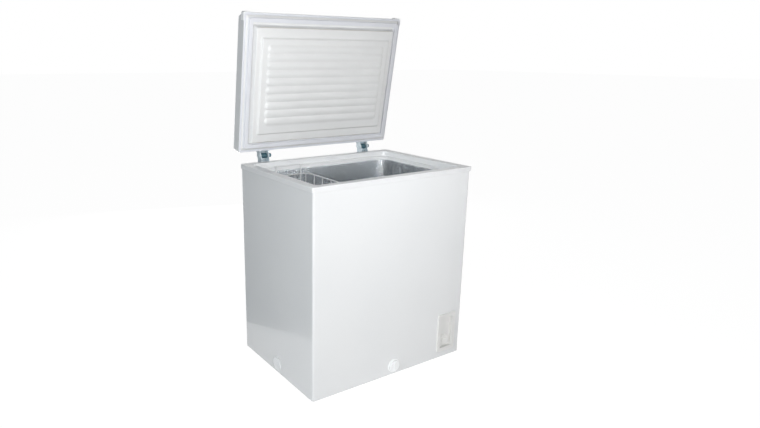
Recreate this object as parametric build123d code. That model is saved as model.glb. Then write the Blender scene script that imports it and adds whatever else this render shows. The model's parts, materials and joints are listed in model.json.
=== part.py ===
from build123d import *
import os

# Chest freezer with its lid held open. Millimetres, Z up, front towards -Y.
# Everything is first built round the middle of the cabinet, with the lid shut.
# The lid is then turned open about its hinge pins, and the whole freezer is
# moved so that the origin is the middle of its bounding box, at floor level.

# ---------------------------------------------------------------- cabinet
CABINET_WIDTH = 729.5
CABINET_DEPTH = 523.2
FOOT_HEIGHT = 10.0
FOOT_RADIUS = 18.0
FOOT_TAPER = 3.0
FOOT_INSET = 45.0
RIM_TOP = 800.0            # top of the mouth frame above the floor
SHEET = 0.8                # painted steel
CORNER_RADIUS = 8.0        # front corners of the wrapper
FIT = 0.3                  # running gap between pieces of different bodies
SEAT = 0.05                # gap between pieces that are fixed to each other

# ---------------------------------------------------------------- mouth frame
RIM_OVERHANG = 5.0
RIM_FACE = 18.0
RIM_SKIN = 3.0
RIM_LAND = 35.0            # width of the flat top that the gasket meets
RIM_WALL_DROP = 21.0       # from the land down to the ledge
RIM_LEDGE = 14.0           # width of the ledge that carries the basket
RIM_THROAT_DROP = 14.0     # from the ledge down to the tank
RIM_THROAT_DRAFT = 5.0
RIM_OUTER_RADIUS = 9.0
RIM_INNER_RADIUS = 15.0

# ---------------------------------------------------------------- tank
TANK_INSET = 50.0          # cabinet's outer face to the tank's inner face
TANK_SKIN = 1.0
TANK_CORNER = 55.0
TANK_FLANGE = 10.0
TANK_FLOOR = 70.0
HUMP_TOP = 315.0
HUMP_LEFT = 45.0
HUMP_INSULATION = 50.0

# ---------------------------------------------------------------- machine space
EVAPORATOR_RADIUS = 4.0
EVAPORATOR_TURNS = 7
EVAPORATOR_PITCH = 56.0
EVAPORATOR_LOW = 360.0
EVAPORATOR_RISER_X = 40.0      # risers step from side to side
CONDENSER_RADIUS = 2.4
CONDENSER_RUNS = 8
CONDENSER_PITCH = 74.0
CONDENSER_LOW = 130.0
CONDENSER_LENGTH = 400.0
COMPRESSOR_RADIUS = 78.0
COMPRESSOR_HEIGHT = 178.0
COMPRESSOR_FROM_RIGHT = 125.0
COMPRESSOR_Y = 100.0
MOUNT_PITCH_X = 170.0
MOUNT_PITCH_Y = 100.0
MOUNT_RADIUS = 12.0
MOUNT_HEIGHT = 17.0
BOLT_RADIUS = 3.0
CARRIER_SHEET = 3.0
DRIER_RADIUS = 9.0
DRIER_LENGTH = 110.0
CORD_BORE_RADIUS = 4.5
CORD_GLAND_RADIUS = 9.0
CORD_GLAND_DEPTH = 10.0
CORD_GLAND_PROUD = 4.0
CORD_GLAND_LIP = 2.0
CORD_FROM_RIGHT = 60.0
CORD_HEIGHT = 60.0
GRILLE_WIDTH = 220.0
GRILLE_HEIGHT = 120.0
GRILLE_SLOTS = 9
GRILLE_LOW = 60.0
GRILLE_LAP = 8.0
GRILLE_PROUD = 2.0
PANEL_SCREW_ROWS = 4
PANEL_SCREW_LOW = 60.0
PANEL_SCREW_PITCH = 180.0
PANEL_SCREW_INSET = 12.0

# ---------------------------------------------------------------- control panel
PANEL_FROM_RIGHT = 78.0    # its middle, from the cabinet's right side
PANEL_LOW = 34.0
PANEL_WIDTH = 98.0
PANEL_HEIGHT = 166.0
PANEL_PROUD = 4.5
PANEL_CORNER = 9.0
POCKET_WIDTH = 62.0
POCKET_HEIGHT = 131.0
POCKET_DEPTH = 11.0        # behind the cabinet's front face
PANEL_SKIN = 2.0
KNOB_RADIUS = 22.0
KNOB_HEIGHT = 12.0
KNOB_ABOVE_POCKET = 28.0
SHAFT_RADIUS = 3.0
THERMOSTAT_SIZE = (46.0, 32.0, 40.0)

# ---------------------------------------------------------------- drains
DRAIN_X = 11.0
DRAIN_Z = 45.0
DRAIN_FLANGE_RADIUS = 28.0
DRAIN_FLANGE_PROUD = 2.5
SPOUT_RADIUS = 10.0
SPOUT_BORE = 7.0
SPOUT_LENGTH = 64.0
SPOUT_WALL = 3.0           # closed front end
SPOUT_PORT_RADIUS = 5.0
SPOUT_PORT_BACK = 13.0
SPOUT_LAP = 36.0           # how far the spout runs over the fixed pipe
DIAL_RADIUS = 23.0
DIAL_HEIGHT = 7.0
DRAIN_TUBE_RADIUS = 6.0
DRAIN_TUBE_BORE = 4.5
DRAIN_WELL_BACK = 110.0    # floor drain, behind the cabinet's front face
PLUG_CAP_RADIUS = 15.0
PLUG_CAP_HEIGHT = 5.0
SIDE_CAP_RADIUS = 28.0
SIDE_CAP_PROUD = 3.5
SIDE_CAP_Y = -3.0

# ---------------------------------------------------------------- lid
LID_WIDER = 9.3             # than the cabinet
LID_DEEPER = 9.0
LID_HEIGHT = 47.0
LID_GAP = 12.0             # mouth frame to the lid's underside, filled by the gasket
LID_OPEN_ANGLE = 80.87
LID_SHEET = 1.0
LID_CORNER = 9.0
LID_EDGE = 4.0
LID_LIP = 11.0             # upright part of the lid's front edge
LID_FRONT_SLOPE = 20.0     # how far the front face leans back above the lip
LID_HEM = 8.6
LINER_SKIN = 1.5
STEP_SKIN = 1.8            # liner's thickness across its sloping walls
STEP_DRAFT = 6.0
STEP_ONE_DROP = 20.0
STEP_ONE_INSETS = (38.5, 42.0, 34.5)   # side, front, rear
STEP_TWO_DROP = 6.5
STEP_TWO_INSETS = (64.5, 84.6, 73.0)
STEP_CORNER = 12.0
RIB_COUNT = 10
RIB_PITCH = 31.0
RIB_FIRST = 111.0          # first valley, from the lid's rear edge
RIB_INSET = 91.0
RIB_RISE = 3.2
GASKET_INSET = 16.0
GASKET_WIDTH = 18.0
GASKET_FOOT = 4.0
GASKET_STEP = 3.0
CAP_REACH = 32.0
CAP_SKIN = 2.5
CAP_HEIGHT = 20.0

# ---------------------------------------------------------------- hinges
HINGE_FROM_SIDE = 111.5     # its middle, from the cabinet's side
PIVOT_BEHIND_LID = 23.6
PIVOT_ABOVE_RIM = 19.3
PIN_RADIUS = 4.0
PIN_HEAD_RADIUS = 6.5
PIN_HEAD = 2.0
PIN_NUT_RADIUS = 9.0
PIN_NUT = 12.0
BRACKET_EAR = 18.0         # outer face of the cabinet bracket's ears
BRACKET_SHEET = 2.0
BRACKET_EYE = 15.0
BRACKET_LOW = 700.0
BRACKET_FLANGE = 17.0
BRACKET_TAPER = 35.0       # from its foot up to its full depth
BRACKET_UNDER_RIM = 4.0
BRACKET_SCREW_HEIGHTS = (16.0, 58.0)
ARM_EAR = 18.5             # inner face of the lid arm's ears
ARM_SHEET = 2.0
ARM_EYE = 15.0
ARM_HOOD = 16.0            # hood's inner face, from the pin
ARM_FLANGE = 15.0
ARM_SCREW_HEIGHTS = (12.0, 32.0)
SPRING_WIRE = 1.5
SPRING_RADIUS = 9.5
SPRING_TURNS = 7
SCREW_RADIUS = 2.2
SCREW_HEAD_RADIUS = 4.5
SCREW_HEAD = 2.2

# ---------------------------------------------------------------- basket
BASKET_END_GAP = 1.1       # tank's front and back walls to the hangers
BASKET_LEFT_GAP = 1.7      # tank's left wall to the rail
BASKET_WIDTH = 216.5
BASKET_RAIL_BELOW_RIM = 54.5
BASKET_HEIGHT = 198.0
RAIL_RADIUS = 2.5
WIRE_RADIUS = 1.6
BASKET_LEFT_CORNER = 52.0
BASKET_RIGHT_CORNER = 9.0
BASKET_PITCH_Y = 57.0
BASKET_PITCH_X = 48.0
HANGER_WIDTH = 115.5
HANGER_FROM_RIGHT = 30.5   # from the rail's right side
HANGER_DROP = 66.0         # below the crossbar
HANGER_BEND = 7.0
HANGER_REACH = 15.0

# ---------------------------------------------------------------- derived places
half_width = CABINET_WIDTH / 2
half_depth = CABINET_DEPTH / 2
front = -half_depth
rim_width = CABINET_WIDTH + 2 * RIM_OVERHANG
rim_depth = CABINET_DEPTH + 2 * RIM_OVERHANG
rim_back = half_depth + RIM_OVERHANG
rim_low = RIM_TOP - RIM_FACE
land_low = RIM_TOP - RIM_SKIN
ledge_top = RIM_TOP - RIM_WALL_DROP
throat_low = ledge_top - RIM_THROAT_DROP
ledge_inset = RIM_LAND + RIM_LEDGE
tank_top = throat_low
tank_half_width = half_width - TANK_INSET
tank_half_depth = half_depth - TANK_INSET
base_top = FOOT_HEIGHT + SHEET
machine_left = HUMP_LEFT + HUMP_INSULATION
machine_top = HUMP_TOP - HUMP_INSULATION
lid_low = RIM_TOP + LID_GAP
lid_top = lid_low + LID_HEIGHT
lid_width = CABINET_WIDTH + LID_WIDER
lid_depth = CABINET_DEPTH + LID_DEEPER
lid_rear = rim_back
lid_front = lid_rear - lid_depth
hinge_x = half_width - HINGE_FROM_SIDE
lid_middle = (lid_rear + lid_front) / 2
pivot_y = lid_rear + PIVOT_BEHIND_LID
pivot_z = RIM_TOP + PIVOT_ABOVE_RIM
panel_x = half_width - PANEL_FROM_RIGHT
panel_z = PANEL_LOW + PANEL_HEIGHT / 2
pocket_floor = front + POCKET_DEPTH
knob_z = panel_z - POCKET_HEIGHT / 2 + KNOB_ABOVE_POCKET
compressor_x = half_width - COMPRESSOR_FROM_RIGHT
condenser_x = -half_width + SHEET + CONDENSER_RADIUS + SEAT
grille_y = COMPRESSOR_Y
cord_x = half_width - CORD_FROM_RIGHT
cord_z = CORD_HEIGHT
carrier_low = base_top + MOUNT_HEIGHT
compressor_low = carrier_low + CARRIER_SHEET
well_y = front + DRAIN_WELL_BACK
rail_z = RIM_TOP - BASKET_RAIL_BELOW_RIM
rail_left = -tank_half_width + BASKET_LEFT_GAP + RAIL_RADIUS
rail_right = rail_left + BASKET_WIDTH
hanger_right = rail_right - HANGER_FROM_RIGHT
hanger_left = hanger_right - HANGER_WIDTH
hanger_z = ledge_top + FIT + RAIL_RADIUS
hanger_y = tank_half_depth - BASKET_END_GAP - RAIL_RADIUS
rail_y = hanger_y - 2 * RAIL_RADIUS - SEAT
basket_floor_z = rail_z - BASKET_HEIGHT
wall_high = rail_z - RAIL_RADIUS - SEAT
wall_low = basket_floor_z + RAIL_RADIUS + SEAT
hinge_axis = Axis((0, pivot_y, pivot_z), (1, 0, 0))


# ---------------------------------------------------------------- helpers
def block(width, depth, low, high, radius=0.0, x=0.0, y=0.0):
    """Upright block round (x, y), with round corners in plan."""
    plan = RectangleRounded(width, depth, radius) if radius > 0 else Rectangle(width, depth)
    return Pos(x, y, low) * extrude(plan, high - low)


def span(x0, x1, y0, y1, z0, z1):
    """Plain box between two corners."""
    return Pos((x0 + x1) / 2, (y0 + y1) / 2, (z0 + z1) / 2) * Box(x1 - x0, y1 - y0, z1 - z0)


def along_x(radius, x0, x1, y, z):
    return Pos((x0 + x1) / 2, y, z) * Rot(0, 90, 0) * Cylinder(radius, x1 - x0)


def along_y(radius, x, y0, y1, z):
    return Pos(x, (y0 + y1) / 2, z) * Rot(90, 0, 0) * Cylinder(radius, y1 - y0)


def along_z(radius, x, y, z0, z1):
    return Pos(x, y, (z0 + z1) / 2) * Cylinder(radius, z1 - z0)


def tube(points, radius, bend):
    """Round bar along straight runs joined by arcs."""
    path = FilletPolyline(*points, radius=bend)
    return sweep(Plane(path @ 0, z_dir=path % 0) * Circle(radius), path=path)


def loop(width, depth, corner, radius, z, x=0.0, y=0.0):
    """Closed round bar that follows a rounded rectangle."""
    path = (Pos(x, y, z) * RectangleRounded(width, depth, corner)).wire()
    return sweep(Plane(path @ 0, z_dir=path % 0) * Circle(radius), path=path)


def front_plate(width, height, radius, x, z, y0, y1):
    """Block with round corners seen from the front, from y0 back to y1."""
    return Pos(x, y1, z) * Rot(90, 0, 0) * extrude(RectangleRounded(width, height, radius), y1 - y0)


def mirrored(shape):
    """The same shape on both sides of the middle plane."""
    return [shape, mirror(shape, about=Plane.YZ)]


def group(shapes):
    """Separate solids kept together as one node."""
    return Compound([solid for shape in shapes for solid in shape.solids()])


# ---------------------------------------------------------------- cabinet pieces
def outer_shell():
    """One wrapper bent round the front and both sides, with its windows."""
    outside = span(-half_width, half_width, front, half_depth, FOOT_HEIGHT, land_low)
    front_edges = outside.edges().filter_by(Axis.Z).group_by(Axis.Y)[0]
    outside = fillet(front_edges, CORNER_RADIUS)
    inside = span(-half_width + SHEET, half_width - SHEET, front + SHEET, half_depth + SHEET,
                  0, RIM_TOP)
    inside_edges = inside.edges().filter_by(Axis.Z).group_by(Axis.Y)[0]
    shell = outside - fillet(inside_edges, CORNER_RADIUS - SHEET)
    shell -= front_plate(POCKET_WIDTH + 2 * PANEL_SKIN + 2 * SEAT,
                         POCKET_HEIGHT + 2 * PANEL_SKIN + 2 * SEAT, PANEL_CORNER / 2,
                         panel_x, panel_z, front - 1, front + 2)
    shell -= along_y(SPOUT_RADIUS + PANEL_SKIN + 2 * FIT, DRAIN_X, front - 1, front + 2, DRAIN_Z)
    shell -= along_x(SIDE_CAP_RADIUS / 2 + SEAT, -half_width - 1, -half_width + 2,
                     SIDE_CAP_Y, DRAIN_Z)
    shell -= span(half_width - 2, half_width + 1, grille_y - GRILLE_WIDTH / 2,
                  grille_y + GRILLE_WIDTH / 2, GRILLE_LOW, GRILLE_LOW + GRILLE_HEIGHT)
    return shell


def vent_grille():
    """Slotted cover over the window beside the compressor."""
    lap = GRILLE_LAP
    frame = span(half_width, half_width + GRILLE_PROUD, grille_y - GRILLE_WIDTH / 2 - lap,
                 grille_y + GRILLE_WIDTH / 2 + lap, GRILLE_LOW - lap,
                 GRILLE_LOW + GRILLE_HEIGHT + lap)
    pitch = GRILLE_HEIGHT / GRILLE_SLOTS
    slot_length = GRILLE_WIDTH - 2 * lap
    for row in range(GRILLE_SLOTS):
        z = GRILLE_LOW + pitch * (row + 0.5)
        slot = Pos(half_width - 1, grille_y, z) * Rot(0, 90, 0) * extrude(
            Rot(0, 0, 90) * SlotOverall(slot_length, pitch * 0.55), GRILLE_PROUD + 2)
        frame -= slot
    return frame


def back_panel():
    """Flat steel back between the wrapper's sides, with the cord's hole."""
    panel = span(-half_width + SHEET, half_width - SHEET, half_depth - SHEET, half_depth,
                 FOOT_HEIGHT, land_low)
    return panel - along_y(CORD_GLAND_RADIUS - CORD_GLAND_LIP, cord_x, half_depth - 2,
                           half_depth + 1, cord_z)


def cord_gland():
    """Strain-relief bush that the supply lead would pass through."""
    back = half_depth + CORD_GLAND_PROUD
    flange = along_y(CORD_GLAND_RADIUS, cord_x, half_depth, back, cord_z)
    neck = along_y(CORD_GLAND_RADIUS - CORD_GLAND_LIP - SEAT, cord_x, back - CORD_GLAND_DEPTH,
                   half_depth, cord_z)
    bore = along_y(CORD_BORE_RADIUS, cord_x, back - 2 * CORD_GLAND_DEPTH, back + CORD_GLAND_DEPTH,
                   cord_z)
    return flange + neck - bore


def panel_screws():
    """Screws that hold the back panel's edge to the wrapper's return."""
    screws = []
    for side in (-1, 1):
        for row in range(PANEL_SCREW_ROWS):
            x = side * (half_width - PANEL_SCREW_INSET)
            z = PANEL_SCREW_LOW + row * PANEL_SCREW_PITCH
            head = along_y(SCREW_HEAD_RADIUS, x, half_depth, half_depth + SCREW_HEAD, z)
            screws.append(head)
    return group(screws)


def base_plate():
    """Steel floor pan, with holes for the compressor's bolts."""
    plate = span(-half_width + SHEET, half_width - SHEET, front + SHEET, half_depth - SHEET,
                 FOOT_HEIGHT, base_top)
    corner = plate.edges().filter_by(Axis.Z).group_by(Axis.Y)[0]
    plate = fillet(corner, CORNER_RADIUS - SHEET)
    for x, y in mount_points():
        plate -= along_z(BOLT_RADIUS + 0.3, x, y, 0, base_top + 5)
    return plate


def mount_points():
    """The compressor's four fixings in plan."""
    return [(compressor_x + sx * MOUNT_PITCH_X / 2, COMPRESSOR_Y + sy * MOUNT_PITCH_Y / 2)
            for sx in (-1, 1) for sy in (-1, 1)]


def feet():
    """Four moulded feet under the corners of the floor pan."""
    solids = []
    for sx in (-1, 1):
        for sy in (-1, 1):
            x = sx * (half_width - FOOT_INSET)
            y = sy * (half_depth - FOOT_INSET)
            foot = Pos(x, y, 0) * Cone(FOOT_RADIUS - FOOT_TAPER, FOOT_RADIUS, FOOT_HEIGHT,
                                       align=(Align.CENTER, Align.CENTER, Align.MIN))
            solids.append(foot)
    return group(solids)


def tank_space(grow, top):
    """The tank's hollow, grown outwards, with the step over the machine space."""
    space = block(2 * (tank_half_width + grow), 2 * (tank_half_depth + grow),
                  TANK_FLOOR - grow, top, TANK_CORNER + grow)
    return space - span(HUMP_LEFT + grow, half_width, front, half_depth, 0, HUMP_TOP - grow)


def inner_liner():
    """Thin aluminium tank with a turned-out top edge."""
    flange = block(2 * (tank_half_width + TANK_FLANGE), 2 * (tank_half_depth + TANK_FLANGE),
                   tank_top - TANK_SKIN, tank_top, TANK_CORNER + TANK_FLANGE)
    tank = tank_space(TANK_SKIN, tank_top) + flange
    tank -= tank_space(0, tank_top + 1)
    return tank - along_z(DRAIN_TUBE_RADIUS + SEAT, DRAIN_X, well_y, 0, TANK_FLOOR + 2)


def rim_ring(outer_inset, inner_inset, low, high, outer_radius, inner_radius):
    outer = block(rim_width - 2 * outer_inset, rim_depth - 2 * outer_inset, low, high, outer_radius)
    return outer - block(rim_width - 2 * inner_inset, rim_depth - 2 * inner_inset,
                         low - 1, high + 1, inner_radius)


def throat(inset, radius):
    """Tapering block from the ledge down to the tank."""
    upper = Pos(0, 0, ledge_top) * RectangleRounded(rim_width - 2 * inset, rim_depth - 2 * inset,
                                                    radius)
    lower_inset = inset + RIM_THROAT_DRAFT
    lower = Pos(0, 0, throat_low) * RectangleRounded(rim_width - 2 * lower_inset,
                                                     rim_depth - 2 * lower_inset, radius)
    return loft([lower.face(), upper.face()])


def top_rim():
    """Moulded frame: outer skirt, flat land, wall, basket ledge and throat."""
    skirt = rim_ring(0, RIM_SKIN, rim_low, RIM_TOP, RIM_OUTER_RADIUS,
                     RIM_OUTER_RADIUS - RIM_SKIN)
    land = rim_ring(0, RIM_LAND, land_low, RIM_TOP, RIM_OUTER_RADIUS, RIM_INNER_RADIUS)
    wall = rim_ring(RIM_LAND - RIM_SKIN, RIM_LAND, ledge_top - RIM_SKIN, RIM_TOP,
                    RIM_INNER_RADIUS + RIM_SKIN, RIM_INNER_RADIUS)
    ledge = rim_ring(RIM_LAND - RIM_SKIN, ledge_inset - RIM_SKIN / 2, ledge_top - RIM_SKIN,
                     ledge_top, RIM_INNER_RADIUS + RIM_SKIN, TANK_CORNER + RIM_SKIN / 2)
    collar = throat(ledge_inset - RIM_SKIN, TANK_CORNER + RIM_SKIN)
    collar -= throat(ledge_inset, TANK_CORNER)
    frame = skirt + land + wall + ledge + collar
    top_edges = frame.faces().sort_by(Axis.Z)[-1].outer_wire().edges()
    return fillet(top_edges, RIM_SKIN * 0.8)


def cabinet_foam():
    """Insulation between the wrapper and the tank, clear of the machine space."""
    foam = span(-half_width + SHEET, half_width - SHEET, front + SHEET, half_depth - SHEET,
                base_top, tank_top - TANK_SKIN)
    corner = foam.edges().filter_by(Axis.Z).group_by(Axis.Y)[0]
    foam = fillet(corner, CORNER_RADIUS - SHEET)
    foam -= tank_space(TANK_SKIN, RIM_TOP)
    foam -= span(machine_left, half_width, front, half_depth, 0, machine_top)
    low = EVAPORATOR_LOW - 2 * EVAPORATOR_RADIUS
    high = EVAPORATOR_LOW + (EVAPORATOR_TURNS - 1) * EVAPORATOR_PITCH + 2 * EVAPORATOR_RADIUS
    around = TANK_SKIN + 2 * EVAPORATOR_RADIUS + 4 * SEAT
    foam -= block(2 * (tank_half_width + around), 2 * (tank_half_depth + around),
                  low, high, TANK_CORNER + around)
    run_top = CONDENSER_LOW + (CONDENSER_RUNS - 1) * CONDENSER_PITCH
    foam -= span(-half_width, condenser_x + CONDENSER_RADIUS + SEAT,
                 -CONDENSER_LENGTH / 2 - CONDENSER_PITCH / 2, CONDENSER_LENGTH / 2 + CONDENSER_PITCH / 2,
                 CONDENSER_LOW - 10, run_top + 10)
    foam -= along_y(SPOUT_RADIUS + PANEL_SKIN + 3 * FIT, DRAIN_X, front, well_y + 20, DRAIN_Z)
    foam -= along_z(SPOUT_RADIUS + PANEL_SKIN + 3 * FIT, DRAIN_X, well_y, DRAIN_Z, TANK_FLOOR)
    foam -= along_x(SIDE_CAP_RADIUS / 2 + SEAT, -half_width, -half_width + 14, SIDE_CAP_Y, DRAIN_Z)
    return foam


def condenser_tube():
    """Steel serpentine that warms the left wall from inside."""
    points = []
    half = CONDENSER_LENGTH / 2
    for run in range(CONDENSER_RUNS):
        z = CONDENSER_LOW + run * CONDENSER_PITCH
        ends = [(condenser_x, -half, z), (condenser_x, half, z)]
        points += ends if run % 2 == 0 else ends[::-1]
    return tube(points, CONDENSER_RADIUS, CONDENSER_PITCH * 0.3)


def evaporator_tube():
    """Tube loops clamped round the tank, joined by risers at the back."""
    out = TANK_SKIN + EVAPORATOR_RADIUS + 2 * SEAT
    coil = None
    for turn in range(EVAPORATOR_TURNS):
        z = EVAPORATOR_LOW + turn * EVAPORATOR_PITCH
        ring = loop(2 * (tank_half_width + out), 2 * (tank_half_depth + out),
                    TANK_CORNER + out, EVAPORATOR_RADIUS, z)
        coil = ring if coil is None else coil + ring
        if turn > 0:
            coil += along_z(EVAPORATOR_RADIUS * 0.8, (-1) ** turn * EVAPORATOR_RISER_X,
                            tank_half_depth + out, z - EVAPORATOR_PITCH, z)
    return coil


def compressor():
    """Welded steel pot on a pressed carrier, with its stubs."""
    r = COMPRESSOR_RADIUS
    h = COMPRESSOR_HEIGHT
    pot = along_z(r, compressor_x, COMPRESSOR_Y, compressor_low, compressor_low + h)
    rims = pot.edges().filter_by(GeomType.CIRCLE).sort_by(Axis.Z)
    pot = fillet(rims[-1], 0.75 * r)
    pot = fillet(pot.edges().filter_by(GeomType.CIRCLE).sort_by(Axis.Z)[0], 0.45 * r)
    pot += along_z(1.05 * r, compressor_x, COMPRESSOR_Y, compressor_low + 0.46 * h,
                   compressor_low + 0.49 * h)
    carrier = block(MOUNT_PITCH_X + 34, MOUNT_PITCH_Y + 30, carrier_low,
                    compressor_low + 0.5, 10, compressor_x, COMPRESSOR_Y)
    for x, y in mount_points():
        carrier -= along_z(BOLT_RADIUS + 0.3, x, y, 0, compressor_low + 5)
    stub_z = compressor_low + 0.4 * h
    stub = along_y(4.0, compressor_x - 0.6 * r, COMPRESSOR_Y - 1.25 * r, COMPRESSOR_Y, stub_z)
    stub += along_y(4.0, compressor_x - 0.3 * r, COMPRESSOR_Y - 1.3 * r, COMPRESSOR_Y, stub_z + 25)
    return pot + carrier + stub


def compressor_mounts():
    """Rubber bushes between the floor pan and the carrier."""
    solids = []
    for x, y in mount_points():
        bush = along_z(MOUNT_RADIUS, x, y, base_top, carrier_low)
        solids.append(bush - along_z(BOLT_RADIUS + 0.3, x, y, 0, carrier_low + 5))
    return group(solids)


def compressor_bolts():
    """Bolts up through the floor pan, the bushes and the carrier, with nuts."""
    solids = []
    for x, y in mount_points():
        head = along_z(1.8 * BOLT_RADIUS, x, y, FOOT_HEIGHT - 3, FOOT_HEIGHT)
        nut_low = compressor_low + 0.5
        shank = along_z(BOLT_RADIUS, x, y, FOOT_HEIGHT - 3, nut_low + 8)
        nut = Pos(x, y, nut_low) * extrude(RegularPolygon(1.9 * BOLT_RADIUS, 6), 5)
        solids.append(head + shank + nut)
    return group(solids)


def start_relay():
    """Terminal cover on the compressor's front-right flank."""
    z = compressor_low + 0.36 * COMPRESSOR_HEIGHT
    y = COMPRESSOR_Y - COMPRESSOR_RADIUS
    box = span(compressor_x - 2, compressor_x + 54, y - 34, y + 30, z, z + 46)
    box -= along_z(COMPRESSOR_RADIUS * 1.05 + SEAT, compressor_x, COMPRESSOR_Y, z - 5, z + 60)
    return box


def filter_drier():
    """Copper drier capsule, clipped upright to the machine space's inner wall."""
    x = machine_left + SEAT + DRIER_RADIUS + 2
    y = front + 90
    low = base_top + 60
    body = along_z(DRIER_RADIUS, x, y, low, low + DRIER_LENGTH)
    body = fillet(body.edges().filter_by(GeomType.CIRCLE), 0.5 * DRIER_RADIUS)
    body += along_z(2.5, x, y, low - 25, low + DRIER_LENGTH + 25)
    body += span(machine_left + SEAT, x, y - 6, y + 6, low + 45, low + 60)
    return body


# ---------------------------------------------------------------- front fittings
def control_panel():
    """Raised bezel with a pocket for the thermostat's knob."""
    bezel = front_plate(PANEL_WIDTH, PANEL_HEIGHT, PANEL_CORNER, panel_x, panel_z,
                        front - PANEL_PROUD, front)
    outer_edges = bezel.faces().sort_by(Axis.Y)[0].edges()
    bezel = fillet(outer_edges, PANEL_PROUD * 0.8)
    box = front_plate(POCKET_WIDTH + 2 * PANEL_SKIN, POCKET_HEIGHT + 2 * PANEL_SKIN,
                      PANEL_CORNER / 2, panel_x, panel_z, front - 1, pocket_floor + PANEL_SKIN)
    pocket = front_plate(POCKET_WIDTH, POCKET_HEIGHT, PANEL_CORNER / 3, panel_x, panel_z,
                         front - PANEL_PROUD - 1, pocket_floor)
    panel = bezel + box - pocket
    return panel - along_y(SHAFT_RADIUS + FIT, panel_x, front, pocket_floor + 10, knob_z)


def thermostat_body():
    """Switch box behind the pocket, round the end of the knob's shaft."""
    width, depth, height = THERMOSTAT_SIZE
    low = pocket_floor + PANEL_SKIN
    body = span(panel_x - width / 2, panel_x + width / 2, low, low + depth,
                knob_z - height / 2, knob_z + height / 2)
    body = fillet(body.edges().filter_by(Axis.Y), 3)
    return body - along_y(SHAFT_RADIUS + FIT, panel_x, low - 1, low + 12, knob_z)


def thermostat_shaft():
    return along_y(SHAFT_RADIUS, panel_x, pocket_floor - 3, pocket_floor + PANEL_SKIN + 10, knob_z)


def thermostat_knob():
    """Round knob with a finger ridge, pushed on the shaft."""
    back = pocket_floor - FIT
    knob = along_y(KNOB_RADIUS, panel_x, back - 4, back, knob_z)
    ridge = front_plate(2 * KNOB_RADIUS - 6, 9, 4, panel_x, knob_z, back - KNOB_HEIGHT, back - 4)
    dome = along_y(KNOB_RADIUS - 5, panel_x, back - 8, back - 4, knob_z)
    knob = knob + dome + ridge
    return knob - along_y(SHAFT_RADIUS + SEAT, panel_x, pocket_floor - 3, pocket_floor + 1, knob_z)


def drain_collar():
    """Fixed escutcheon with the sleeve that the spout slides in."""
    flange = along_y(DRAIN_FLANGE_RADIUS, DRAIN_X, front - DRAIN_FLANGE_PROUD, front, DRAIN_Z)
    rim_edge = flange.faces().sort_by(Axis.Y)[0].edges()
    flange = fillet(rim_edge, DRAIN_FLANGE_PROUD * 0.7)
    sleeve = along_y(SPOUT_RADIUS + PANEL_SKIN + FIT, DRAIN_X, front, front + 34, DRAIN_Z)
    return flange + sleeve - along_y(SPOUT_RADIUS + FIT, DRAIN_X, front - 10, front + 40, DRAIN_Z)


def drain_spout():
    """Pull-out tube that slides in the collar, with a port below its closed front."""
    start = front - DRAIN_FLANGE_PROUD
    spout = along_y(SPOUT_RADIUS, DRAIN_X, start, start + SPOUT_LENGTH, DRAIN_Z)
    spout -= along_y(SPOUT_BORE, DRAIN_X, start + SPOUT_WALL, start + SPOUT_LENGTH + 1, DRAIN_Z)
    return spout - along_z(SPOUT_PORT_RADIUS, DRAIN_X, start + SPOUT_PORT_BACK,
                           DRAIN_Z - SPOUT_RADIUS - 1, DRAIN_Z)


def drain_dial():
    """Turning end of the spout, with a raised arrow."""
    back = front - DRAIN_FLANGE_PROUD - FIT
    disc = along_y(DIAL_RADIUS, DRAIN_X, back - DIAL_HEIGHT, back, DRAIN_Z)
    disc = fillet(disc.faces().sort_by(Axis.Y)[0].edges(), 2.5)
    shaft = front_plate(6, 24, 2.5, DRAIN_X, DRAIN_Z - 4, back - DIAL_HEIGHT - 3, back - DIAL_HEIGHT)
    head = Pos(DRAIN_X, back - DIAL_HEIGHT, DRAIN_Z + 9) * Rot(90, 0, 0) * extrude(
        RegularPolygon(9, 3, rotation=90), 3)
    return disc + shaft + head


def drain_tube():
    """Pipe from the tank's floor, round an elbow and forward into the spout."""
    start = front - DRAIN_FLANGE_PROUD + SPOUT_LENGTH - SPOUT_LAP
    points = [(DRAIN_X, well_y, TANK_FLOOR), (DRAIN_X, well_y, DRAIN_Z), (DRAIN_X, start, DRAIN_Z)]
    pipe = tube(points, DRAIN_TUBE_RADIUS, 12)
    points[0] = (DRAIN_X, well_y, TANK_FLOOR + 5)
    points[2] = (DRAIN_X, start - 5, DRAIN_Z)
    return pipe - tube(points, DRAIN_TUBE_BORE, 12)


def floor_plug():
    """Rubber plug that stops the tank's drain hole."""
    low = TANK_FLOOR + FIT
    cap = along_z(PLUG_CAP_RADIUS, DRAIN_X, well_y, low, low + PLUG_CAP_HEIGHT)
    cap = fillet(cap.faces().sort_by(Axis.Z)[-1].edges(), 2)
    stem = along_z(DRAIN_TUBE_BORE - FIT, DRAIN_X, well_y, low - 7, low)
    tab = span(DRAIN_X - 2, DRAIN_X + 2, well_y - 7, well_y + 7, low + PLUG_CAP_HEIGHT,
               low + PLUG_CAP_HEIGHT + 8)
    return cap + stem + tab


def side_cap():
    """Domed cap over the spare drain hole in the left side."""
    x = -half_width
    cap = along_x(SIDE_CAP_RADIUS, x - SIDE_CAP_PROUD, x, SIDE_CAP_Y, DRAIN_Z)
    cap = fillet(cap.faces().sort_by(Axis.X)[0].edges(), SIDE_CAP_PROUD * 0.7)
    return cap + along_x(SIDE_CAP_RADIUS / 2, x, x + 12, SIDE_CAP_Y, DRAIN_Z)


# ---------------------------------------------------------------- lid pieces
def lid_block(side, near, far, low, high, radius):
    """Block inside the lid's outline: insets at the sides, front and rear."""
    return block(lid_width - 2 * side, lid_depth - near - far, low, high, radius,
                 0, lid_middle + (near - far) / 2)


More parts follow.
